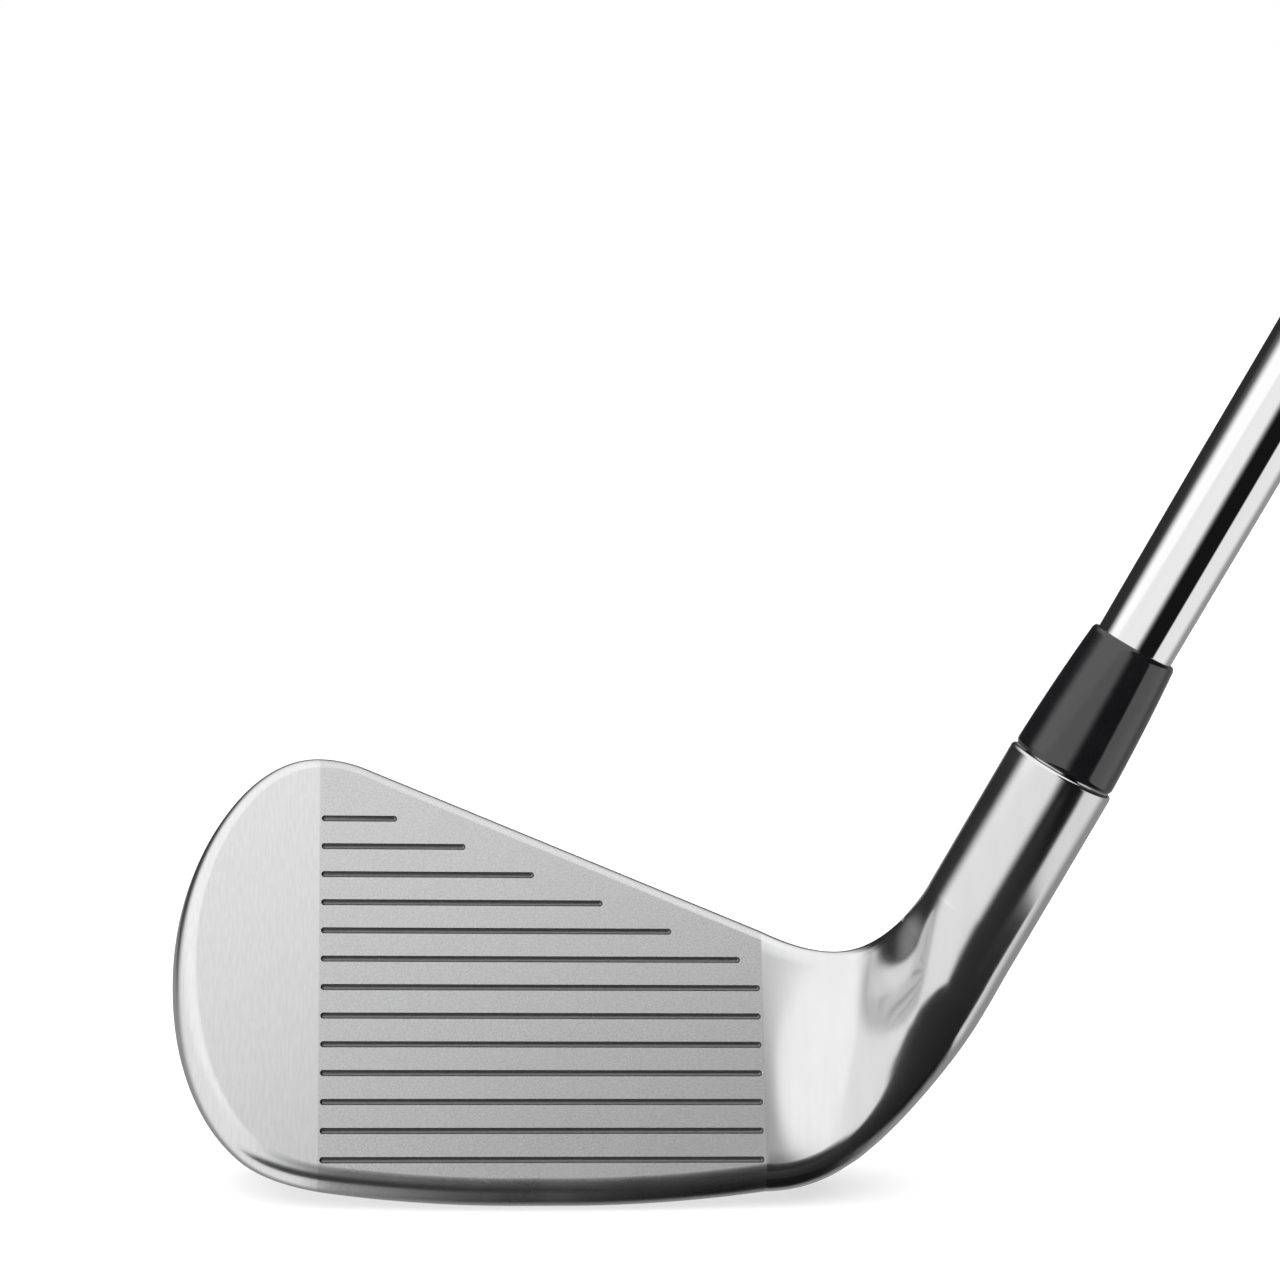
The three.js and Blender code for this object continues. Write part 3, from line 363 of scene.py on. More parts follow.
# %% [markdown]
# ## The outline of the blade
# Seen square to the face, the blade has a straight top line, a toe that bends in one sweep, and a
# sole with a slight camber. The toe is a chain of cubic curves, each with the heading it starts and
# ends with, so they join without a corner. The points are then spread evenly along it.

# %% Outline of the blade
ARC_HANDLE = 0.65  # reach of a curve's handles towards the point where its ends' headings meet
TOE_DELAY = 1.4  # how late, on its way round the toe, the edge turns into that of the sole


def topline_v(x):
    return TOPLINE_HEEL_V + (HEEL_X - x) * math.tan(TOPLINE_SLOPE)


def sole_v(x):
    rise = max(0.0, abs(x) - SOLE_FLAT / 2) ** 2 / (2 * SOLE_RADIUS)
    return (SOLE_EDGE_HEIGHT + rise) / math.cos(LOFT)


def cubic(a, b, c, d, steps=200):
    t = np.linspace(0, 1, steps + 1)[:, None]
    return a * (1 - t) ** 3 + 3 * b * t * (1 - t) ** 2 + 3 * c * t * t * (1 - t) + d * t ** 3


def spaced(path, steps):
    """Points evenly spaced along a path of many points."""
    path = np.asarray(path)
    run = np.concatenate([[0], np.cumsum(np.linalg.norm(np.diff(path, axis=0), axis=1))])
    at = np.asarray(steps) * run[-1] if np.ndim(steps) else np.linspace(0, run[-1], steps + 1)
    return np.stack([np.interp(at, run, path[:, k]) for k in range(path.shape[1])], 1)


def bend(start, end):
    """A curve from one (x, v, heading) to another, bent like an arc."""
    (ax, av, ah), (bx, bv, bh) = start, end
    a, b = np.array([ax, av]), np.array([bx, bv])
    da, db = (np.array([math.cos(math.radians(h)), math.sin(math.radians(h))]) for h in (ah, bh))
    chord = b - a
    turn = da[0] * db[1] - da[1] * db[0]
    reach_a = (chord[0] * db[1] - chord[1] * db[0]) / turn
    reach_b = (da[0] * chord[1] - da[1] * chord[0]) / turn
    return cubic(a, a + ARC_HANDLE * reach_a * da, b - ARC_HANDLE * reach_b * db, b)


TOPLINE_TOE_X = HEEL_X - TOPLINE_LENGTH * math.cos(TOPLINE_SLOPE)


def blade_outline(topline_steps, toe_steps, sole_steps):
    """Points (x, v, low) from the heel end of the top line, round the toe, to that of the sole."""
    slope = (abs(SOLE_TOE_X) - SOLE_FLAT / 2) / SOLE_RADIUS
    start = (TOPLINE_TOE_X, topline_v(TOPLINE_TOE_X), 180 - math.degrees(TOPLINE_SLOPE))
    end = (SOLE_TOE_X, sole_v(SOLE_TOE_X), 360 - math.degrees(math.atan(slope / math.cos(LOFT))))
    stops = [start, *TOE_BENDS, end]
    toe = spaced(np.concatenate([bend(a, b) for a, b in zip(stops, stops[1:])]), toe_steps)
    points = [(x, topline_v(x), 0.0) for x in np.linspace(HEEL_X, TOPLINE_TOE_X, topline_steps + 1)[:-1]]
    points += [(x, v, smooth(i / toe_steps) ** TOE_DELAY) for i, (x, v) in enumerate(toe)]
    points += [(x, sole_v(x), 1.0) for x in np.linspace(SOLE_TOE_X, HEEL_X, sole_steps + 1)[1:]]
    return points


outline = blade_outline(60, 150, 60)
print("blade outline:", len(outline), "points, toe at x =", round(min(p[0] for p in outline), 1))

# %% [markdown]
# ## The section of the blade
# Cut across, the blade is a thin wedge. Its edge runs from the face over a rounded front, along a
# gently crowned side and over a rounded back. The roundings grow from the crisp top line to the
# generous leading edge, which glides through turf. Each rounding is a conic, tangent to both
# sides, because the eye follows reflections over it and sees every corner that isn't.

# %% Section of the blade
FRONT_STEPS, SIDE_STEPS, BACK_STEPS, LINE_STEPS = 12, 10, 8, 20
EDGE_COUNT = FRONT_STEPS + SIDE_STEPS + BACK_STEPS


def unit(v):
    return v / np.linalg.norm(v)


def round_corner(a, vertex, b, steps):
    cosine = np.clip(np.dot(unit(vertex - a), unit(b - vertex)), -1, 1)
    weight = math.cos(math.acos(cosine) / 2)
    points = []
    for t in np.linspace(0, 1, steps + 1):
        wa, wv, wb = (1 - t) ** 2, 2 * weight * t * (1 - t), t * t
        points.append((a * wa + vertex * wv + b * wb) / (wa + wv + wb))
    return points


def meet(p, along_p, q, along_q):
    """Where two lines in one plane cross."""
    reach = np.linalg.lstsq(np.stack([along_p, -along_q], 1), q - p, rcond=None)[0]
    return p + along_p * reach[0]


def edge_section(front, vertex, back_vertex, back, edge, back_edge, crown):
    """The edge from the face, over its front rounding, its side and its back rounding."""
    inward, backward = unit(front - vertex), unit(back - back_vertex)
    side = back_vertex - vertex
    length = np.linalg.norm(side)
    side = side / length

    def on_side(a):
        return vertex + side * a - inward * (crown * 4 * a * (length - a) / length ** 2)

    def heading(a):
        return side - inward * (crown * 4 * (length - 2 * a) / length ** 2)

    first, last = edge, length - back_edge
    nose_vertex = meet(on_side(first), heading(first), vertex, inward)
    tail_vertex = meet(on_side(last), heading(last), back_vertex, backward)
    nose = round_corner(vertex + inward * edge, nose_vertex, on_side(first), FRONT_STEPS)
    middle = [on_side(a) for a in np.linspace(first, last, SIDE_STEPS + 1)[1:-1]]
    tail = round_corner(on_side(last), tail_vertex, back_vertex + backward * back_edge, BACK_STEPS)
    return nose + middle + tail


SOLE_FLAT_CUT = 0.09  # how much of the sole's bulge is cut off level
SOLE_CROWN = (SOLE_EDGE_HEIGHT + SOLE_FLAT_CUT) / math.cos(LOFT)
TOPLINE_SIZES = {"edge": 1.3, "back_edge": 0.9, "crown": 0.25}
SOLE_SIZES = {"edge": 3.9, "back_edge": 2.4, "crown": SOLE_CROWN}
TOE_CENTRE_X, TOE_CENTRE_V = -16.0, 28.0  # the roundings of the edge aim here


def edge_sizes(low):
    return {key: mix(TOPLINE_SIZES[key], SOLE_SIZES[key], low) for key in TOPLINE_SIZES}


def depth_at(x, low):
    heel_share = smooth((x - PLATE_HEEL_X) / (HEEL_X - PLATE_HEEL_X))
    return mix(TOPLINE_DEPTH, mix(SOLE_DEPTH, SOLE_HEEL_DEPTH, heel_share), low)


def back_vertex(x, v, low):
    depth = depth_at(x, low)
    return face_point(x, v + low * math.tan(LOFT) * depth, depth)


# %% [markdown]
# ## The cavity
# The back is hollowed out so that the weight sits round the edge and low down. The hollow follows
# the blade's outline at an even rim. Its points are paired with the outline's points by their share
# of the way round, so that rows between the two never cross.

# %% Outline of the cavity
CAVITY_TOP_RIM, CAVITY_TOE_RIM, CAVITY_CORNER, CAVITY_FLOOR = 5.0, 5.8, 5.0, 3.2
CAVITY_HEEL_X, CAVITY_TOE_TOP_X, CAVITY_TOE_HIGH_V = 17.0, -25.5, 36.0
CAVITY_BOTTOM_HEEL_V, CAVITY_BOTTOM_TOE_V = 19.0, 22.0
WALL_DRAFT = 0.9


def cavity_path(inset):
    """The cavity as a closed path (x, v): returns it with the middles of its two heel corners."""
    toe_x, heel_x = TOE_BENDS[2][0] + CAVITY_TOE_RIM + inset, CAVITY_HEEL_X - inset

    def top(x):
        return topline_v(x) - CAVITY_TOP_RIM - inset

    corners = [(heel_x, top(heel_x), 1), (CAVITY_TOE_TOP_X, top(CAVITY_TOE_TOP_X), 2),
               (toe_x, CAVITY_TOE_HIGH_V, 2), (toe_x, CAVITY_BOTTOM_TOE_V + inset, 1),
               (heel_x, CAVITY_BOTTOM_HEEL_V + inset, 1)]
    path, marks = [], []
    for i, (x, v, size) in enumerate(corners):
        here = np.array([x, v])
        ends = []
        for other in (corners[i - 1], corners[(i + 1) % len(corners)]):
            way = np.array(other[:2]) - here
            reach = min(size * CAVITY_CORNER - inset / 2, 0.48 * np.linalg.norm(way))
            ends.append(here + unit(way) * reach)
        curve = round_corner(ends[0], here, ends[1], 40)
        marks.append(len(path) + 20)
        path += curve
    return path, marks[0], marks[4]


def cavity_loop(inset, points, heel_steps):
    path, first, last = cavity_path(inset)
    run = [0.0]
    for (x0, v0, _), (x1, v1, _) in zip(points, points[1:]):
        run.append(run[-1] + math.hypot(x1 - x0, v1 - v0))
    blade_side = spaced(path[first:last + 1], np.array(run) / run[-1])
    heel_side = spaced(path[last:] + path[:first + 1], heel_steps)
    return list(blade_side) + list(heel_side[1:-1])


MUSCLE_Y = FACE_Y + SOLE_EDGE_HEIGHT * math.tan(LOFT) + SOLE_DEPTH / math.cos(LOFT)


def muscle_depth(v):
    """Depth of the upright back of the muscle, at v up the face."""
    return (MUSCLE_Y - FACE_Y - v * math.sin(LOFT)) / math.cos(LOFT)


# %% [markdown]
# ## From the blade to the hosel
# The hosel is a round tube, and the blade is a wedge. Between them the forging flows from one to
# the other. Two curves guide it in the front view: the top one bends through the crotch, the
# bottom one round the heel. A four-sided section is stretched between them at each step. It starts
# as the wedge and ends as a square whose corners are rounded by half its side, which is very nearly
# a circle, so the two shapes are ends of one family. The lower front corner becomes tube first and
# the upper one last, and a curve between them leaves the soft crease where the tube stands out of
# the face.

# %% Heel and hosel
CROTCH, HEEL_CORNER = np.array([37.1, 25.3]), np.array([40.55, 2.3])
CROTCH_ROUNDING, SOLE_ROUNDING, HEEL_ROUNDING = 0.72, 0.62, 0.8
HEEL_RINGS = 90
HEEL_LAG = 0.25  # how much later the top of the heel turns round than its bottom
FRONT_HANDLE = 0.4  # reach of the handles of the curved front, as a share of its height
RING_COUNT = 2 * (EDGE_COUNT + LINE_STEPS)


def flat(p):
    return np.array([p[0], p[2]])


def rails(first_top, first_bottom):
    """Points of the top and bottom curves in the x-z plane, at even shares of their lengths."""
    curves = []
    for start, corner, side, near, far in ((first_top, CROTCH, -1, CROTCH_ROUNDING, CROTCH_ROUNDING),
                                           (first_bottom, HEEL_CORNER, 1, SOLE_ROUNDING, HEEL_ROUNDING)):
        end = flat(axis_point(HOSEL_START, side * HOSEL_RADIUS))
        curve = cubic(start, mix(start, corner, near), mix(end, corner, far), end)
        curves.append(spaced([*curve, flat(axis_point(ROUND_FROM, side * HOSEL_RADIUS))], HEEL_RINGS))
    return curves


def section_ring(top_edge, sole_edge, rise=None, drop=None):
    """A closed ring: over the top, down the back, under the sole and up the front. rise and drop are
    the ways that the front leaves the sole edge and the top edge, if it isn't straight."""
    back = [mix(top_edge[-1], sole_edge[-1], t) for t in np.linspace(0, 1, LINE_STEPS + 1)[1:-1]]
    low, high = sole_edge[0], top_edge[0]
    reach = np.linalg.norm(high - low) * FRONT_HANDLE
    rise, drop = unit(high - low) if rise is None else rise, unit(low - high) if drop is None else drop
    front = cubic(low, low + rise * reach, high + drop * reach, high, LINE_STEPS)[1:-1]
    return [*top_edge, *back, *sole_edge[::-1], *front]


def run_shares(ring):
    """How far along a closed ring each of its points lies, from 0 to 1."""
    steps = np.linalg.norm(np.diff(np.array([*ring, ring[0]]), axis=0), axis=1)
    return np.cumsum(np.concatenate([[0], steps[:-1]])) / steps.sum()


def heel_section(bottom, top, t):
    """The section between two points of the rails: a wedge at t = 0, a circle at t = 1."""
    height = np.linalg.norm(top - bottom)
    early, late = smooth(t / (1 - HEEL_LAG)), smooth((t - HEEL_LAG) / (1 - HEEL_LAG))
    up = np.array([top[0] - bottom[0], 0, top[1] - bottom[1]]) / height
    front, back = AXIS_Y - HOSEL_RADIUS, AXIS_Y + HOSEL_RADIUS

    def at(h, y):
        return np.array([bottom[0], 0, bottom[1]]) + up * h + np.array([0, y, 0])

    low_y, high_y = (FACE_Y + z * math.tan(LOFT) for z in (bottom[1], top[1]))
    sole_front = at(0, mix(low_y, front, early))
    top_front = at(height, mix(high_y, AXIS_Y, late))
    sole_back = at(0, mix(low_y + SOLE_HEEL_DEPTH / math.cos(LOFT), back, smooth(t)))
    top_back = at(height - mix(TOPLINE_DEPTH * math.sin(LOFT), 0, late),
                  mix(high_y + TOPLINE_DEPTH * math.cos(LOFT), back, smooth(t)))

    def grown(low, share, edge):
        sizes = edge_sizes(low)
        return {"edge": mix(sizes["edge"], edge, share), "crown": mix(sizes["crown"], 0, share),
                "back_edge": mix(sizes["back_edge"], HOSEL_RADIUS, share)}

    def leaning(angle):
        return math.cos(angle) * up + math.sin(angle) * np.array([0, 1, 0])

    rise, drop = leaning(mix(LOFT, 0, early)), -leaning(mix(LOFT, math.pi / 2, late))
    return section_ring(
        edge_section(top_front + drop, top_front, top_back, sole_back, **grown(0, late, 0)),
        edge_section(sole_front + rise, sole_front, sole_back, top_back, **grown(1, early, HOSEL_RADIUS)),
        rise, drop)


def hosel_ring(h, radius):
    """A circle round the shaft axis that starts at the toe side and goes over the back."""
    turns = np.linspace(0, 2 * math.pi, RING_COUNT, endpoint=False)
    return [axis_point(h, -radius * math.cos(t), radius * math.sin(t)) for t in turns]


# %% [markdown]
# ## Putting the head together
# The edge of the blade is one strip round the toe. The face closes it in front as a single flat
# polygon, which keeps its reflection true. Behind, rows run from the back edge to the lip of the
# cavity and down its wall to the floor. The rings of the heel carry on from the blade's last
# section, over the rim of the hosel and down into the bore.

# %% The forged head
BORE_RADIUS, BORE_DEPTH, HOSEL_CHAMFER = 4.8, 21.0, 0.45
LIP_ROUNDING, FLOOR_ROUNDING, LAND_ROWS = 0.5, 0.8, 8


def blade_edges():
    lip_path = cavity_loop(0, outline, LINE_STEPS)
    last = len(outline) - 1

    def lip_at(i, low):
        x, v = lip_path[i]
        return face_point(x, v, mix(TOPLINE_DEPTH, muscle_depth(v), low))

    lip = [lip_at(i, p[2]) for i, p in enumerate(outline)]
    lip += [lip_at(i, 1 - (i - last) / LINE_STEPS) for i in range(last + 1, len(lip_path))]
    backs = [back_vertex(*p) for p in outline]
    edges = []
    for i, (x, v, low) in enumerate(outline):
        aim = {0: backs[last], last: backs[0]}.get(i, lip[i])
        centre = face_point(max(x, TOE_CENTRE_X), TOE_CENTRE_V)
        edge = edge_section(centre, face_point(x, v), backs[i], aim, **edge_sizes(low))
        edges.append([np.array([p[0], p[1], max(p[2], 0.0)]) for p in edge])  # it rests on a flat
    return edges, lip


def forged_head():
    skin = Skin()
    edges, lip = blade_edges()
    first_ring = section_ring(edges[0], edges[-1])
    skin.rows(edges)
    front_line = first_ring[-(LINE_STEPS - 1):]
    skin.face([e[0] for e in edges] + front_line)
    back_line = first_ring[EDGE_COUNT + 1:EDGE_COUNT + LINE_STEPS][::-1]
    back = [e[-1] for e in edges] + back_line
    foot = [face_point(x, v, CAVITY_FLOOR) for x, v in cavity_loop(WALL_DRAFT, outline, LINE_STEPS)]
    floor = [face_point(x, v, CAVITY_FLOOR)
             for x, v in cavity_loop(WALL_DRAFT + FLOOR_ROUNDING, outline, LINE_STEPS)]
    columns = []
    for b, l, f, inner in zip(back, lip, foot, floor):
        over = round_corner(l + unit(b - l) * LIP_ROUNDING, l, l + unit(f - l) * LIP_ROUNDING, 4)
        under = round_corner(f + unit(l - f) * FLOOR_ROUNDING, f, inner, 5)
        land = [mix(b, over[0], t) for t in np.linspace(0, 1, LAND_ROWS + 1)[:-1]]
        columns.append(land + over + under)
    skin.rows([list(row) for row in zip(*columns)], closed=True)
    skin.face(floor)
    top, bottom = rails(flat(face_point(HEEL_X, TOPLINE_HEEL_V)), flat(face_point(HEEL_X, sole_v(HEEL_X))))
    rings = [first_ring]
    even = np.arange(RING_COUNT) / RING_COUNT
    for i in range(1, HEEL_RINGS):
        t = i / HEEL_RINGS
        section = heel_section(bottom[i], top[i], t)
        places = mix(run_shares(first_ring), even, smooth(t))
        rings.append(list(spaced([*section, section[0]], places)))
    rings += [hosel_ring(h, HOSEL_RADIUS) for h in np.linspace(ROUND_FROM, HOSEL_TOP - HOSEL_CHAMFER, 8)]
    for turn in np.radians([30, 60, 90]):
        rings.append(hosel_ring(HOSEL_TOP - HOSEL_CHAMFER * (1 - math.sin(turn)),
                                HOSEL_RADIUS - HOSEL_CHAMFER * (1 - math.cos(turn))))
    rings += [hosel_ring(HOSEL_TOP, BORE_RADIUS), hosel_ring(HOSEL_TOP - BORE_DEPTH, BORE_RADIUS)]
    skin.rows(rings, closed=True)
    skin.face(rings[-1])
    return skin.object("forged_head", steel)


head = forged_head()

# %% [markdown]
# ## Score lines
# Thirteen fine troughs are cut across the face at one pitch, so they suit Geometry Nodes: a repeat
# zone makes one cutter after another, and each is as long as the top line allows. A cutter is a
# flattened bar with a round ball at each end, sunk by half. One boolean takes them all out.

# %% Score lines
BALL_GROWTH = (1.04, 1.04, 1.02)  # so that a ball covers the end of its bar


def score_line_tree(material):
    inputs = [("Geometry", GEOMETRY), ("Count", "NodeSocketInt", GROOVES),
              ("Pitch", FLOAT), ("Lowest", FLOAT), ("Toe End", FLOAT), ("Heel End", FLOAT),
              ("Topline Height", FLOAT), ("Topline Slope", FLOAT), ("Margin", FLOAT),
              ("Width", FLOAT), ("Depth", FLOAT), ("Face Y", FLOAT), ("Loft", FLOAT)]
    tree, given, out = new_group("score lines", inputs, [("Geometry", GEOMETRY)], "GeometryNodeTree")
    size = given.outputs
    start = tree.nodes.new("GeometryNodeRepeatInput")
    end = tree.nodes.new("GeometryNodeRepeatOutput")
    start.pair_with_output(end)
    end.repeat_items.new("INT", "Line")
    tree.links.new(size["Count"], start.inputs["Iterations"])
    line = start.outputs["Line"]
    height = maths(tree, "MULTIPLY_ADD", line, size["Pitch"], size["Lowest"])
    above = maths(tree, "SUBTRACT", height, size["Topline Height"])
    run = maths(tree, "DIVIDE", above, maths(tree, "TANGENT", size["Topline Slope"]))
    short = maths(tree, "DIVIDE", size["Margin"], maths(tree, "SINE", size["Topline Slope"]))
    topline_x = maths(tree, "SUBTRACT", maths(tree, "SUBTRACT", HEEL_X * MM, run), short)
    heel = maths(tree, "MINIMUM", size["Heel End"], topline_x)
    ends = [xyz(tree, x, height) for x in (size["Toe End"], heel)]
    bar = add_node(tree, "GeometryNodeCurvePrimitiveLine", {"Start": ends[0], "End": ends[1]})
    half = maths(tree, "MULTIPLY", size["Width"], 0.5)
    section = add_node(tree, "GeometryNodeCurvePrimitiveCircle", {"Resolution": 20, "Radius": 1.0})
    section = add_node(tree, "GeometryNodeTransform", {"Geometry": section.outputs["Curve"],
                       "Scale": xyz(tree, half, size["Depth"], 1.0)})
    trough = add_node(tree, "GeometryNodeCurveToMesh", {"Curve": bar.outputs[0],
                      "Profile Curve": section.outputs[0], "Fill Caps": True}).outputs[0]
    cutters = [trough]
    for place in ends:
        ball = add_node(tree, "GeometryNodeMeshUVSphere", {"Segments": 20, "Rings": 10, "Radius": 1.0})
        wide = vector_maths(tree, "MULTIPLY", xyz(tree, half, half, size["Depth"]), BALL_GROWTH)
        cutters.append(add_node(tree, "GeometryNodeTransform", {"Geometry": ball.outputs["Mesh"],
                       "Translation": place, "Scale": wide}).outputs[0])
    joined = tree.nodes.new("GeometryNodeJoinGeometry")
    for part in [start.outputs["Geometry"], *cutters]:
        tree.links.new(part, joined.inputs[0])
    tree.links.new(joined.outputs[0], end.inputs["Geometry"])
    tree.links.new(maths(tree, "ADD", line, 1.0), end.inputs["Line"])
    lean = maths(tree, "SUBTRACT", math.pi / 2, size["Loft"])
    placed = add_node(tree, "GeometryNodeTransform", {"Geometry": end.outputs["Geometry"],
                      "Translation": xyz(tree, 0.0, size["Face Y"]), "Rotation": xyz(tree, lean)})
    real = add_node(tree, "GeometryNodeRealizeInstances", {0: placed.outputs[0]})
    painted = add_node(tree, "GeometryNodeSetMaterial", {"Geometry": real.outputs[0], "Material": material})
    cut = add_node(tree, "GeometryNodeMeshBoolean", {"Mesh 1": size["Geometry"], "Self Intersection": True},
                   operation="DIFFERENCE", solver="EXACT")
    tree.links.new(painted.outputs[0], cut.inputs["Mesh 2"])
    tree.links.new(cut.outputs["Mesh"], out.inputs[0])
    return tree


def keep_result(made, modifier):
    """Replaces an object's mesh with what a modifier makes of it, and removes the modifier."""
    ready = made.evaluated_get(bpy.context.evaluated_depsgraph_get())
    mesh = bpy.data.meshes.new_from_object(ready)
    made.modifiers.remove(modifier)
    made.data = mesh
    return mesh


def run_nodes(made, tree, sharp=SHARP_ANGLE, **sizes):
    """Runs a node tree on an object and keeps the result as a plain mesh."""
    modifier = made.modifiers.new(tree.name, "NODES")
    modifier.node_group = tree
    sockets = {s.name: s.identifier for s in tree.interface.items_tree if s.in_out == "INPUT"}
    for label, value in sizes.items():
        modifier[sockets[label.replace("_", " ").title()]] = value
    mesh = keep_result(made, modifier)
    mesh.shade_smooth()
    mesh.set_sharp_from_angle(angle=math.radians(sharp))
    print(f"{made.name}: {len(mesh.polygons)} faces after {tree.name}")


# The steel in the score lines is much darker than the face. This is painted shade that stands in for the
# shadow inside the troughs.
def groove_steel_painted_shade():
    finish, tree, shader, place = new_finish("score line steel with painted shade", (0.5, 0.5, 0.5), 0.42, 1.0)
    pits = use_group(tree, grain, vector=place, scale=5200.0)
    drive(tree, shader, tone(tree, pits["Grain"], (0.2, 0.2, 0.205), (0.36, 0.36, 0.365)))
    return finish


GROOVE_TOE_X, GROOVE_HEEL_X, GROOVE_MARGIN = -25.35, 25.4, 4.5
GROOVE_WIDTH, GROOVE_DEPTH = 0.72, 0.42
run_nodes(head, score_line_tree(groove_steel_painted_shade()), Count=GROOVES, Pitch=GROOVE_PITCH * MM,
          Lowest=GROOVE_LOWEST_V * MM, Toe_End=GROOVE_TOE_X * MM, Heel_End=GROOVE_HEEL_X * MM,
          Topline_Height=TOPLINE_HEEL_V * MM, Topline_Slope=TOPLINE_SLOPE, Margin=GROOVE_MARGIN * MM,
          Width=GROOVE_WIDTH * MM, Depth=GROOVE_DEPTH * MM, Face_Y=FACE_Y * MM, Loft=LOFT)

# %% [markdown]
# A flat face next to a rounding needs care. Smooth shading averages the directions of the faces
# round each point, which would tilt the rim of the flat face and bend its reflection. Weighting
# the average by the size of each face lets the large flat face win, so it stays flat to its edge.

# %% Keep the flat faces flat
def weigh_normals(made):
    modifier = made.modifiers.new("weigh normals", "WEIGHTED_NORMAL")
    modifier.keep_sharp = True
    keep_result(made, modifier)


weigh_normals(head)
print("head:", [round(d / MM, 1) for d in head.dimensions], "mm")

# %% [markdown]
# ## The plate and the weights
# Tungsten is denser than steel, so two bars of it sit in pockets low in the muscle, one near the
# toe and one near the heel. A bevelled steel plate closes both pockets from behind. Its seat is cut
# out of the head with a boolean, a hair wider than the plate, which leaves the dark joint line
# that the eye expects round a fitted part.

# %% Muscle plate and its seat
PLATE_BOTTOM_Z, PLATE_HEIGHT, PLATE_THICKNESS, PLATE_CORNER = 3.6, 6.4, 1.2, 2.0
PLATE_RECESS, PLATE_BEVEL, OVERCUT = 0.3, 0.35, 5.0
PLATE_BACK_Y = MUSCLE_Y - PLATE_RECESS


def rounded_plate(grow, front, back, bevel=0.0):
    """Rows of points round a plate with rounded corners: from its front to its back, y = back."""
    top = PLATE_BOTTOM_Z + PLATE_HEIGHT

    def row(inset, y):
        r = PLATE_CORNER + grow - inset
        points = []
        for x, z, quarter in ((PLATE_HEEL_X, PLATE_BOTTOM_Z, 0), (PLATE_HEEL_X, top, 1),
                              (PLATE_TOE_X, top, 2), (PLATE_TOE_X, PLATE_BOTTOM_Z, 3)):
            cx = x - math.copysign(PLATE_CORNER, x)
            cz = z + PLATE_CORNER * (1 if z == PLATE_BOTTOM_Z else -1)
            for turn in np.radians(np.linspace(-90, 0, 9) + 90 * quarter):
                points.append(np.array([cx + r * math.cos(turn), y, cz + r * math.sin(turn)]))
        return points

    rows = [row(0, front), row(0, back - bevel)]
    if bevel:
        for t in np.radians([30, 60, 90]):
            rows.append(row(bevel * (1 - math.cos(t)), back - bevel * (1 - math.sin(t))))
    return rows


def capped(name, rows, material):
    """Closed rows with a face over the first and the last."""
    skin = Skin()
    skin.rows(rows, closed=True)
    skin.face(rows[0])
    skin.face(rows[-1])
    return skin.object(name, material)


def plate_metal():
    finish, tree, shader, place = new_finish("brushed plate", (0.5, 0.5, 0.51), 0.28, 1.0)
    lines = use_group(tree, brushing, vector=place, turn=(0, 0, 0), scale=3000.0, stretch=(0.012, 0.3, 1.0))
    wear = use_group(tree, smudges, vector=place, scale=70.0, amount=0.12)["Smudge"]
    drive(tree, shader, tone(tree, lines["Scratches"], (0.42, 0.42, 0.43), (0.56, 0.56, 0.57)),
          maths(tree, "ADD", wear, 0.24))
    bump(tree, shader, lines["Scratches"], 0.003 * MM)
    return finish


def cut_with(made, cutter):
    modifier = made.modifiers.new("seat", "BOOLEAN")
    modifier.object, modifier.operation, modifier.solver = cutter, "DIFFERENCE", "EXACT"
    keep_result(made, modifier).set_sharp_from_angle(angle=math.radians(SHARP_ANGLE))
    bpy.data.objects.remove(cutter)


def settle(made, node):
    """Rides with the club in place of a solid, which it hides."""
    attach(made, "root")
    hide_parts(node)
    print(f"{made.name} takes the place of {node}")


seat_front = PLATE_BACK_Y - PLATE_THICKNESS - SEAT_GAP
cut_with(head, capped("seat_cutter", rounded_plate(SEAT_GAP, seat_front, MUSCLE_Y + OVERCUT), steel))
weigh_normals(head)
plate_rows = rounded_plate(0, seat_front + SEAT_GAP, PLATE_BACK_Y, PLATE_BEVEL)
plate = capped("bevelled_plate", plate_rows, plate_metal())
settle(plate, "muscle_plate")
settle(head, "head_body")

# %% [markdown]
# ## The badge in the cavity
# A thin stamped badge damps the sting of a mishit. It is glued to a foam pad on the cavity floor,
# stays clear of the cavity's wall all round, and has a raised rim with a softly textured middle.

# %% Cavity badge
BADGE_MARGIN, BADGE_FRONT, BADGE_BACK, RIM_HEIGHT = 1.3, 4.2, 5.0, 0.25


def badge_metal():
    finish, tree, shader, place = new_finish("stamped badge", (0.3, 0.3, 0.31), 0.35, 1.0)
    pits = use_group(tree, grain, vector=place, scale=3000.0)
    drive(tree, shader, tone(tree, pits["Mottle"], (0.22, 0.22, 0.23), (0.36, 0.36, 0.37)))
    bump(tree, shader, pits["Grain"], 0.01 * MM)
    return finish


def badge():
    rows = []
    for inset, w in ((0, BADGE_FRONT), (0, BADGE_BACK - RIM_HEIGHT), (0.1, BADGE_BACK - 0.07),
                     (0.25, BADGE_BACK), (1.2, BADGE_BACK), (1.35, BADGE_BACK - 0.1),
                     (1.6, BADGE_BACK - RIM_HEIGHT)):
        loop = cavity_path(WALL_DRAFT + BADGE_MARGIN + inset)[0]
        rows.append([face_point(x, v, w) for x, v in spaced([*loop, loop[0]], 240)[:-1]])
    return capped("rimmed_badge", rows, badge_metal())


settle(badge(), "cavity_badge")

# %% [markdown]
# ## Turned pieces
# The ferrule, the shaft, the band, the grip and its cap are all round, so each is a profile turned
# about the shaft axis. A profile is a list of radii and heights, and it is closed, because a tube
# has an inside too. Steps and edges get small roundings that catch the light.

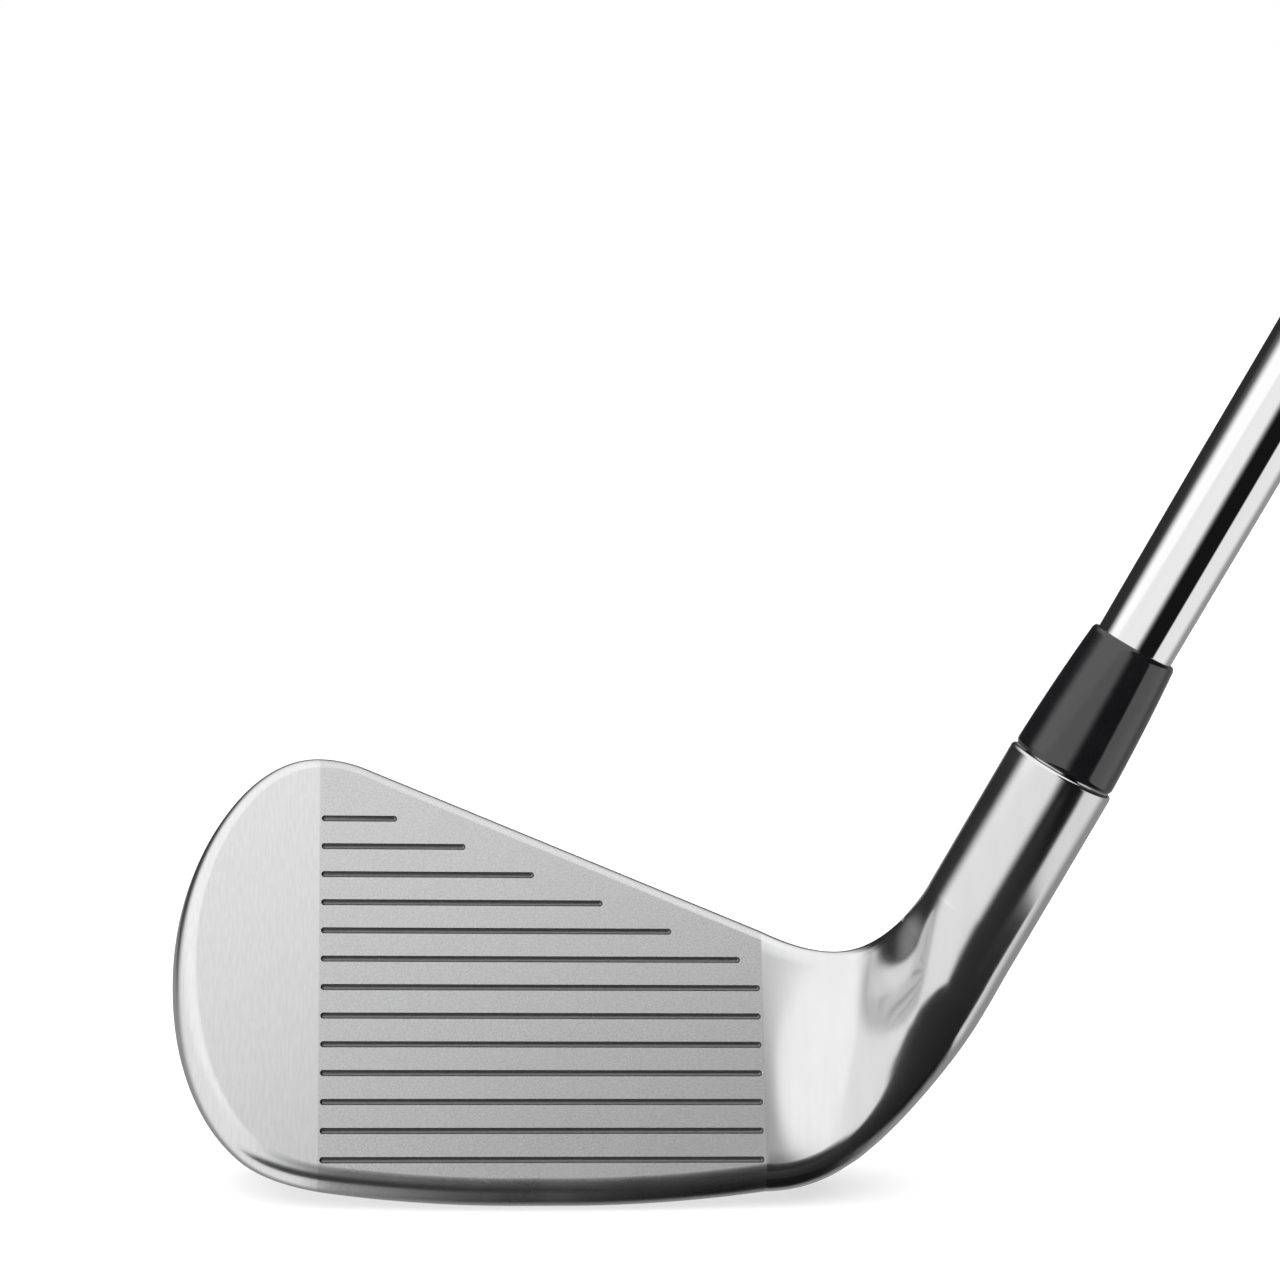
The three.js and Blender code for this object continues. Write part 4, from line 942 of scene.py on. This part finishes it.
# %% Turning a profile
def on_axis(r, h, t):
    return axis_point(h, r * math.sin(t), -r * math.cos(t))


def upright(r, h, t):
    """Round the z axis, for node trees that work along z."""
    return np.array([r * math.cos(t), r * math.sin(t), h])


def turned(name, profile, material, segments=96, place=on_axis):
    turns = np.linspace(0, 2 * math.pi, segments, endpoint=False)
    skin = Skin()
    skin.rows([[place(r, h, t) for t in turns] for r, h in [*profile, profile[0]]], closed=True)
    return skin.object(name, material)


def soften(profile, reach=0.2, steps=3):
    """Rounds the corners of an open profile."""
    points = [np.array(p, dtype=float) for p in profile]
    rounded = [points[0]]
    for before, here, after in zip(points, points[1:], points[2:]):
        size = min(reach, 0.45 * np.linalg.norm(here - before), 0.45 * np.linalg.norm(after - here))
        start, end = (here + unit(other - here) * size for other in (before, after))
        rounded += round_corner(start, here, end, steps)
    return [*rounded, points[-1]]


# %% [markdown]
# ### Ferrule
# A glossy black plastic collar hides the joint. It is turned on the shaft with the belt and buffed
# with a rag and solvent, so it is mirror smooth with only the faintest waves and rag marks. It
# tapers from the hosel's edge to a thin lip round the shaft.

# %% Ferrule
TIP_DIAMETER, TIP_TAPER, TIP_TAPER_LENGTH, SHAFT_BOTTOM = 9.1, 0.0075, 60.0, 38.6
FERRULE_LENGTH, FERRULE_BOTTOM = 16.2, HOSEL_TOP + SEAT_GAP
FERRULE_TOP = FERRULE_BOTTOM + FERRULE_LENGTH


def shaft_radius(h):
    return TIP_DIAMETER / 2 + min(h - SHAFT_BOTTOM, TIP_TAPER_LENGTH) * TIP_TAPER / 2


def ferrule_plastic():
    black = (0.006, 0.006, 0.007)
    finish, tree, shader, place = new_finish("buffed black plastic", black, 0.1, Specular_IOR_Level=1.0)
    wave = noise(tree, place, 260.0, 2.0)
    rag = use_group(tree, brushing, vector=place, turn=(0, LIE - math.pi / 2, 0), scale=1800.0,
                    stretch=(1.0, 1.0, 0.05))
    drive(tree, shader, tone(tree, wave, (0.004, 0.004, 0.005), (0.009, 0.009, 0.01)),
          ramp(tree, rag["Scratches"], 0.2, 1.0, 0.06, 0.13))
    bump(tree, shader, wave, 0.01 * MM)
    return finish


def ferrule():
    bottom_radius, top_radius, bulge, edge = 6.22, 5.3, 0.12, 0.4
    outer = [(bottom_radius - edge / 2, FERRULE_BOTTOM)]
    for t in np.linspace(0, 1, 25):
        outer.append((mix(bottom_radius, top_radius, t) + bulge * 4 * t * (1 - t),
                      mix(FERRULE_BOTTOM + edge, FERRULE_TOP - edge, t)))
    outer.append((top_radius - edge / 2, FERRULE_TOP))
    inner = [(shaft_radius(h) + SEAT_GAP, h) for h in (FERRULE_TOP, FERRULE_BOTTOM)]
    return turned("buffed_ferrule", soften(outer) + inner, ferrule_plastic())


settle(ferrule(), "ferrule")

# %% [markdown]
# ### Shaft
# A steel shaft is drawn thinner in steps, so that it is stiff at the grip and quick at the tip.
# Thirteen equal steps at one pitch follow a rule, so Geometry Nodes turn them: each point of a plain
# tube learns from its height how many steps it has passed, and its radius grows by that much. The
# chrome is a mirror, and only fine polishing lines and smudges break it.

# %% Shaft
SHAFT_TOP, FIRST_STEP, STEP_PITCH, STEP_LENGTH, STEPS = 957.8, 230.0, 38.0, 3.0, 13
BUTT_DIAMETER, SHAFT_WALL = 15.24, 0.45
TAPERED_DIAMETER = TIP_DIAMETER + TIP_TAPER * TIP_TAPER_LENGTH
STEP_GROWTH = (BUTT_DIAMETER - TAPERED_DIAMETER) / STEPS


def chrome():
    finish, tree, shader, place = new_finish("polished chrome", (0.9, 0.9, 0.905), 0.05, 1.0)
    lines = use_group(tree, brushing, vector=place, turn=(0, LIE - math.pi / 2, 0), scale=2200.0,
                      stretch=(1.0, 1.0, 0.01))
    smudge = use_group(tree, smudges, vector=place, scale=50.0, amount=0.05)["Smudge"]
    drive(tree, shader, tone(tree, lines["Bands"], (0.86, 0.86, 0.865), (0.92, 0.92, 0.925)),
          maths(tree, "ADD", smudge, ramp(tree, lines["Scratches"], 0.0, 1.0, 0.02, 0.05)))
    return finish


def tube_tree(name, *sizes):
    """A node tree for a tube round the z axis: returns it, its sizes, its output, and x, y and z."""
    inputs = [("Geometry", GEOMETRY), *((size, FLOAT) for size in sizes), ("Material", MATERIAL)]
    tree, given, out = new_group(name, inputs, [("Geometry", GEOMETRY)], "GeometryNodeTree")
    where = tree.nodes.new("GeometryNodeInputPosition").outputs[0]
    return tree, given.outputs, out, *add_node(tree, "ShaderNodeSeparateXYZ", {0: where}).outputs


def move_out(tree, size, out, way, reach):
    """Ends a tube's tree: points move along a way by a reach, and the result gets its material."""
    outward = vector_maths(tree, "NORMALIZE", way)
    move = add_node(tree, "ShaderNodeVectorMath", {0: outward, "Scale": reach}, operation="SCALE")
    moved = add_node(tree, "GeometryNodeSetPosition",
                     {"Geometry": size["Geometry"], "Offset": move.outputs[0]})
    real = add_node(tree, "GeometryNodeRealizeInstances", {0: moved.outputs[0]})
    painted = add_node(tree, "GeometryNodeSetMaterial",
                       {"Geometry": real.outputs[0], "Material": size["Material"]})
    tree.links.new(painted.outputs[0], out.inputs[0])
    return tree


def stepped_tube_tree():
    """Widens a tube round its own z axis by one growth for each step it has passed."""
    tree, size, out, x, y, z = tube_tree("stepped tube", "First Step", "Pitch", "Step Length", "Steps",
                                         "Growth")
    above = maths(tree, "SUBTRACT", z, size["First Step"])
    passed = maths(tree, "FLOOR", maths(tree, "DIVIDE", above, size["Pitch"]))
    last = maths(tree, "SUBTRACT", size["Steps"], 1.0)
    passed = maths(tree, "MINIMUM", maths(tree, "MAXIMUM", passed, -1.0), last)
    into = maths(tree, "SUBTRACT", above, maths(tree, "MULTIPLY", passed, size["Pitch"]))
    slope = ramp(tree, maths(tree, "DIVIDE", into, size["Step Length"]), 0.0, 1.0)
    steps = maths(tree, "MAXIMUM", maths(tree, "ADD", passed, slope), 0.0)
    grown = maths(tree, "MULTIPLY", steps, size["Growth"])
    return move_out(tree, size, out, xyz(tree, x, y), grown)


def lean_on_axis(made):
    """Turns a finished upright mesh onto the shaft axis, points and all."""
    turn = Quaternion((0, 1, 0), math.pi / 2 - LIE).to_matrix().to_4x4()
    turn.translation = Vector((AXIS_X * MM, AXIS_Y * MM, 0))
    made.data.transform(turn)


def shaft():
    heights = [SHAFT_BOTTOM, SHAFT_BOTTOM + TIP_TAPER_LENGTH]
    for i in range(STEPS):
        start = FIRST_STEP + i * STEP_PITCH
        heights += [start - 0.05, *np.linspace(start, start + STEP_LENGTH, 7), start + STEP_LENGTH + 0.05]
    heights.append(SHAFT_TOP)
    outer = [(shaft_radius(h), h) for h in heights]
    inner = [(r - SHAFT_WALL, h) for r, h in outer[::-1]]
    metal = chrome()
    made = turned("stepped_shaft", outer + inner, metal, place=upright)
    run_nodes(made, stepped_tube_tree(), sharp=50.0, First_Step=FIRST_STEP * MM, Pitch=STEP_PITCH * MM,
              Step_Length=STEP_LENGTH * MM, Steps=float(STEPS), Growth=STEP_GROWTH / 2 * MM, Material=metal)
    lean_on_axis(made)
    return made


settle(shaft(), "shaft")

# %% [markdown]
# ### Band below the grip
# A printed foil band is wrapped round the shaft between two steps. It is left plain here, with the
# dark gloss of printed film and a thin pale line near each end.

# %% Shaft band
BAND_START, BAND_LENGTH, BAND_THICKNESS = 654.0, 26.0, 0.15
BAND_LINE_PLACE = 10.5  # of each pale line, from the middle of the band


def band_foil():
    finish, tree, shader, place = new_finish("printed foil", (0.03, 0.03, 0.035), 0.22)
    up_shaft = (math.cos(LIE), 0, math.sin(LIE))
    along = vector_maths(tree, "DOT_PRODUCT", place, up_shaft, output="Value")
    middle = (AXIS_X * math.cos(LIE) + BAND_START + BAND_LENGTH / 2) * MM
    away = maths(tree, "ABSOLUTE", maths(tree, "SUBTRACT", along, middle))
    off_line = maths(tree, "ABSOLUTE", maths(tree, "SUBTRACT", away, BAND_LINE_PLACE * MM))
    line = ramp(tree, off_line, 0.35 * MM, 0.45 * MM, 1.0, 0.0)
    cloud = use_group(tree, smudges, vector=place, scale=80.0, amount=0.15)["Smudge"]
    drive(tree, shader, tone(tree, line, (0.03, 0.03, 0.035), (0.5, 0.5, 0.51)),
          maths(tree, "ADD", cloud, 0.18))
    return finish


band_inner = (BUTT_DIAMETER - STEP_GROWTH) / 2 + SEAT_GAP / 2
band_outer = band_inner + BAND_THICKNESS
band = turned("foil_band", soften([(band_inner, BAND_START), (band_outer, BAND_START),
              (band_outer, BAND_START + BAND_LENGTH), (band_inner, BAND_START + BAND_LENGTH)], 0.05),
              band_foil())
settle(band, "shaft_band")

# %% [markdown]
# ### Grip
# A rubber grip is moulded with fine crossing grooves that drain sweat and bite the glove. Two sets
# of spiral grooves run opposite ways round it, so the rule for a point needs only its angle and its
# height. Geometry Nodes sink a dense tube by that rule and leave smooth collars at both ends.

# %% Grip
GRIP_MOUTH, GRIP_END, MOUTH_RADIUS, BUTT_RADIUS, CAP_RADIUS = 698.0, 957.8, 9.1, 13.4, 14.9
MOUTH_COLLAR, BUTT_COLLAR = 9.0, 12.0  # smooth ends of the grip
GRIP_BORE = BUTT_DIAMETER / 2 + 0.9


def rubber(name, scale):
    finish, tree, shader, place = new_finish(name, (0.018, 0.018, 0.019), 0.72)
    pits = use_group(tree, grain, vector=place, scale=scale)
    wear = use_group(tree, smudges, vector=place, scale=40.0, amount=0.18)["Smudge"]
    drive(tree, shader, tone(tree, pits["Mottle"], (0.014, 0.014, 0.015), (0.026, 0.026, 0.027)),
          maths(tree, "SUBTRACT", 0.76, wear))
    bump(tree, shader, pits["Grain"], 0.05 * MM)
    return finish


def grip_groove_tree():
    tree, size, out, x, y, z = tube_tree("spiral grooves", "Starts", "Pitch", "Depth", "Width", "From",
                                         "To", "Skin")
    angle = maths(tree, "MULTIPLY", maths(tree, "ARCTAN2", y, x), size["Starts"])
    climb = maths(tree, "MULTIPLY", maths(tree, "DIVIDE", z, size["Pitch"]), 2 * math.pi)
    cuts = []
    for operation in ("ADD", "SUBTRACT"):
        wave = maths(tree, "COSINE", maths(tree, operation, climb, angle))
        cuts.append(ramp(tree, wave, maths(tree, "SUBTRACT", 1.0, size["Width"]), 1.0))
    groove = maths(tree, "MAXIMUM", *cuts)
    lower = ramp(tree, z, size["From"], maths(tree, "ADD", size["From"], 0.004))
    upper = ramp(tree, z, maths(tree, "SUBTRACT", size["To"], 0.004), size["To"], 1.0, 0.0)
    across = xyz(tree, x, y)
    radius = vector_maths(tree, "LENGTH", across, output="Value")
    outside = maths(tree, "GREATER_THAN", radius, size["Skin"])
    share = maths(tree, "MULTIPLY", maths(tree, "MULTIPLY", lower, upper),
                  maths(tree, "MULTIPLY", groove, outside))
    sink = maths(tree, "MULTIPLY", maths(tree, "MULTIPLY", share, size["Depth"]), -1.0)
    return move_out(tree, size, out, across, sink)


def grip():
    shape_h = [GRIP_MOUTH, GRIP_MOUTH + 0.4, GRIP_MOUTH + 0.8, mix(GRIP_MOUTH, GRIP_END, 0.4),
               mix(GRIP_MOUTH, GRIP_END, 0.75), mix(GRIP_MOUTH, GRIP_END, 0.95), GRIP_END]
    shape_r = [MOUTH_RADIUS - 0.4, MOUTH_RADIUS - 0.08, MOUTH_RADIUS, mix(MOUTH_RADIUS, BUTT_RADIUS, 0.36),
               mix(MOUTH_RADIUS, BUTT_RADIUS, 0.72), BUTT_RADIUS, CAP_RADIUS]
    heights = np.linspace(GRIP_MOUTH, GRIP_END, 620)
    outer = [(float(np.interp(h, shape_h, shape_r)), h) for h in heights]
    bore = [(GRIP_BORE, GRIP_END), (GRIP_BORE, GRIP_MOUTH)]
    made = turned("moulded_grip", outer + bore, None, segments=140, place=upright)
    black = rubber("moulded rubber", 2600.0)
    run_nodes(made, grip_groove_tree(), Starts=12.0, Pitch=24 * MM, Depth=0.35 * MM, Width=0.28,
              From=(GRIP_MOUTH + MOUTH_COLLAR) * MM, To=(GRIP_END - BUTT_COLLAR) * MM,
              Skin=(GRIP_BORE + 0.2) * MM, Material=black)
    lean_on_axis(made)
    return made


settle(grip(), "grip")

# %% [markdown]
# ### Grip cap
# The butt of the grip is closed by a separate cap with a plug that goes into the shaft. A vent
# through its middle lets air and solvent out while the grip is pushed on.

# %% Grip cap
CAP_START, CAP_LENGTH, PLUG_LENGTH, PLUG_RADIUS, VENT_RADIUS = 958.0, 7.0, 10.0, 5.6, 1.4


def grip_cap():
    outer = [(VENT_RADIUS, CAP_START - PLUG_LENGTH), (PLUG_RADIUS, CAP_START - PLUG_LENGTH),
             (PLUG_RADIUS, CAP_START), (CAP_RADIUS, CAP_START), (CAP_RADIUS, CAP_START + CAP_LENGTH * 0.35),
             (CAP_RADIUS * 0.94, CAP_START + CAP_LENGTH * 0.75), (CAP_RADIUS * 0.78, CLUB_LENGTH),
             (CAP_RADIUS * 0.5, CLUB_LENGTH), (CAP_RADIUS * 0.47, CLUB_LENGTH - 0.5),
             (VENT_RADIUS + 0.5, CLUB_LENGTH - 0.5), (VENT_RADIUS, CLUB_LENGTH - 1.0)]
    return turned("moulded_cap", soften(outer, 1.2, 6), rubber("cap rubber", 1800.0))


settle(grip_cap(), "grip_cap")

# %% [markdown]
# ## Pieces that stay inside
# The weights, the pad under the badge, the brass plug in the tip and the tape under the grip are
# hidden when the club is whole, but they show when it is taken apart. They keep their plain shapes,
# which is what they have in real life, and each gets the surface that its making leaves: sintered
# tungsten is grainy, foam is porous, cut brass has turning lines and paper tape has fibres.

# %% Finishes of the hidden pieces
def hidden_finish(name, dark, light, roughness, metallic, scale, depth):
    finish, tree, shader, place = new_finish(name, light, roughness, metallic)
    pits = use_group(tree, grain, vector=place, scale=scale)
    drive(tree, shader, tone(tree, pits["Mottle"], dark, light),
          ramp(tree, pits["Grain"], 0.3, 0.7, roughness - 0.08, roughness + 0.08))
    bump(tree, shader, pits["Grain"], depth * MM)
    return finish


# Slot and pieces, then a name, a dark and a light tone, roughness, metallic, scale and depth.
hidden = [
    ("weight_metal", ("toe_weight", "heel_weight"),
     ("sintered tungsten", (0.14, 0.14, 0.145), (0.24, 0.24, 0.245), 0.45, 1.0, 3500.0, 0.02)),
    ("pad_foam", ("badge_pad",),
     ("closed foam", (0.03, 0.03, 0.032), (0.06, 0.06, 0.063), 0.9, 0.0, 1500.0, 0.15)),
    ("tip_brass", ("tip_weight",),
     ("cut brass", (0.42, 0.27, 0.09), (0.56, 0.38, 0.15), 0.3, 1.0, 2500.0, 0.01)),
    ("tape_paper", ("grip_tape",),
     ("paper tape", (0.55, 0.5, 0.4), (0.68, 0.63, 0.52), 0.85, 0.0, 1200.0, 0.04)),
]
for slot, nodes, look in hidden:
    finish = hidden_finish(*look)
    for node in nodes:
        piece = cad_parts[node]
        piece.data.materials.clear()
        piece.data.materials.append(finish)
        print(node, "is finished in", finish.name)

# %% [markdown]
# ## The studio
# A polished club shows its surroundings more than itself, so the light is the room. A bright
# canopy hangs over and to the left, a dark gap is left in front towards the right, and the pale
# table throws light back up. Blender can hold such a room in the world's shader, which gives every
# piece the same soft bands without a lamp in view. The camera itself sees a plain pale backdrop.

# %% World, table and camera
def studio_world():
    world = bpy.data.worlds.new("studio")
    bpy.context.scene.world = world
    world.use_nodes = True
    tree = world.node_tree
    tree.nodes.clear()
    way = tree.nodes.new("ShaderNodeTexCoord").outputs["Generated"]
    x, y, z = add_node(tree, "ShaderNodeSeparateXYZ", {0: way}).outputs
    rim = ramp(tree, x, -0.14, 0.05, 0.35, 0.63)
    canopy = ramp(tree, z, maths(tree, "SUBTRACT", rim, 0.06), maths(tree, "ADD", rim, 0.06), 0.0, 1.1)
    glow = maths(tree, "POWER", ramp(tree, x, -0.27, 0.18, 1.0, 0.0), 3.0)
    right_table = maths(tree, "MULTIPLY", ramp(tree, x, 0.6, 0.66), ramp(tree, z, -0.2, -0.1, 0.85, 0.0))
    front = maths(tree, "MAXIMUM", maths(tree, "MAXIMUM", canopy, right_table),
                  maths(tree, "MAXIMUM", maths(tree, "MULTIPLY", glow, 0.92), 0.008))
    back_top = ramp(tree, z, 0.34, 0.85, 0.03, 1.0)
    back_table = ramp(tree, z, -0.1, 0.02, 0.28, 0.0)
    back = maths(tree, "ADD", back_top, back_table)
    behind = ramp(tree, y, -0.05, 0.45)
    light = add_node(tree, "ShaderNodeMix", {"Factor": behind}, data_type="FLOAT")
    tree.links.new(front, light.inputs[2])
    tree.links.new(back, light.inputs[3])
    room = add_node(tree, "ShaderNodeBackground", {"Strength": light.outputs[0], "Color": (1, 1, 1, 1)})
    backdrop = add_node(tree, "ShaderNodeBackground", {"Strength": 1.0, "Color": (1, 1, 1, 1)})
    seen = tree.nodes.new("ShaderNodeLightPath").outputs["Is Camera Ray"]
    mixed = add_node(tree, "ShaderNodeMixShader", {0: seen, 1: room.outputs[0], 2: backdrop.outputs[0]})
    out = tree.nodes.new("ShaderNodeOutputWorld")
    tree.links.new(mixed.outputs[0], out.inputs["Surface"])


def sheet(name, finish, toe_x, heel_x, front_y, back_y, z):
    """A level rectangle."""
    skin = Skin()
    skin.face([np.array([x, y, z]) for x, y in ((toe_x, front_y), (heel_x, front_y), (heel_x, back_y),
                                                (toe_x, back_y))])
    return skin.object(name, finish)


def pale_table():
    finish, tree, shader, place = new_finish("pale table", (0.93, 0.93, 0.93), 0.6)
    drive(tree, shader, tone(tree, noise(tree, place, 3.0), (0.92, 0.92, 0.92), (0.94, 0.94, 0.94)))
    reach = 4000.0
    table = sheet("table", finish, -reach, reach, -reach, reach, 0.0)
    table.visible_glossy = False


LENS, SENSOR_WIDTH, CAMERA_PLACE = 109.15, 36, np.array([-32.0, -434.57, 148.63])
CAMERA_TILT, CAMERA_SWING, CAMERA_ROLL = 10.73, 5.54, 1.68  # in degrees


def camera():
    data = bpy.data.cameras.new("camera")
    data.lens, data.sensor_width = LENS, SENSOR_WIDTH
    data.clip_start, data.clip_end = 0.01, 20
    view = bpy.data.objects.new("camera", data)
    tilt, swing, roll = (math.radians(angle) for angle in (CAMERA_TILT, CAMERA_SWING, CAMERA_ROLL))
    view.rotation_mode = "XYZ"
    view.location = CAMERA_PLACE * MM
    ahead = Vector((math.sin(swing) * math.cos(tilt), math.cos(swing) * math.cos(tilt), -math.sin(tilt)))
    view.rotation_euler = (ahead.to_track_quat("-Z", "Y") @ Quaternion((0, 0, 1), roll)).to_euler()
    bpy.context.scene.collection.objects.link(view)
    bpy.context.scene.camera = view


def soft_sun(aim, strength, spread):
    """Even light from far off, as through a diffuser, that evens out the table."""
    data = bpy.data.lights.new("diffused daylight", "SUN")
    data.energy, data.angle = strength, math.radians(spread)
    made = bpy.data.objects.new("diffused daylight", data)
    made.rotation_euler = Vector(aim).to_track_quat("-Z", "Y").to_euler()
    made.visible_glossy = False
    data.use_shadow = False
    bpy.context.scene.collection.objects.link(made)


def dark_card():
    """A black card that lies in front of the head and is only seen in its reflections."""
    finish, tree, shader, place = new_finish("black card", (0.004, 0.004, 0.004), 0.9)
    drive(tree, shader, tone(tree, noise(tree, place, 30.0), (0.003, 0.003, 0.003), (0.006, 0.006, 0.006)))
    card = sheet("card", finish, -45.0, 108.0, -300.0, -12.0, 0.4)
    card.visible_camera = card.visible_diffuse = card.visible_shadow = False


studio_world()
pale_table()
dark_card()
camera()
soft_sun((0.25, 0.35, -1.0), 2.6, 70)
bpy.context.scene.view_settings.view_transform = "Standard"
print("lens:", bpy.context.scene.camera.data.lens)
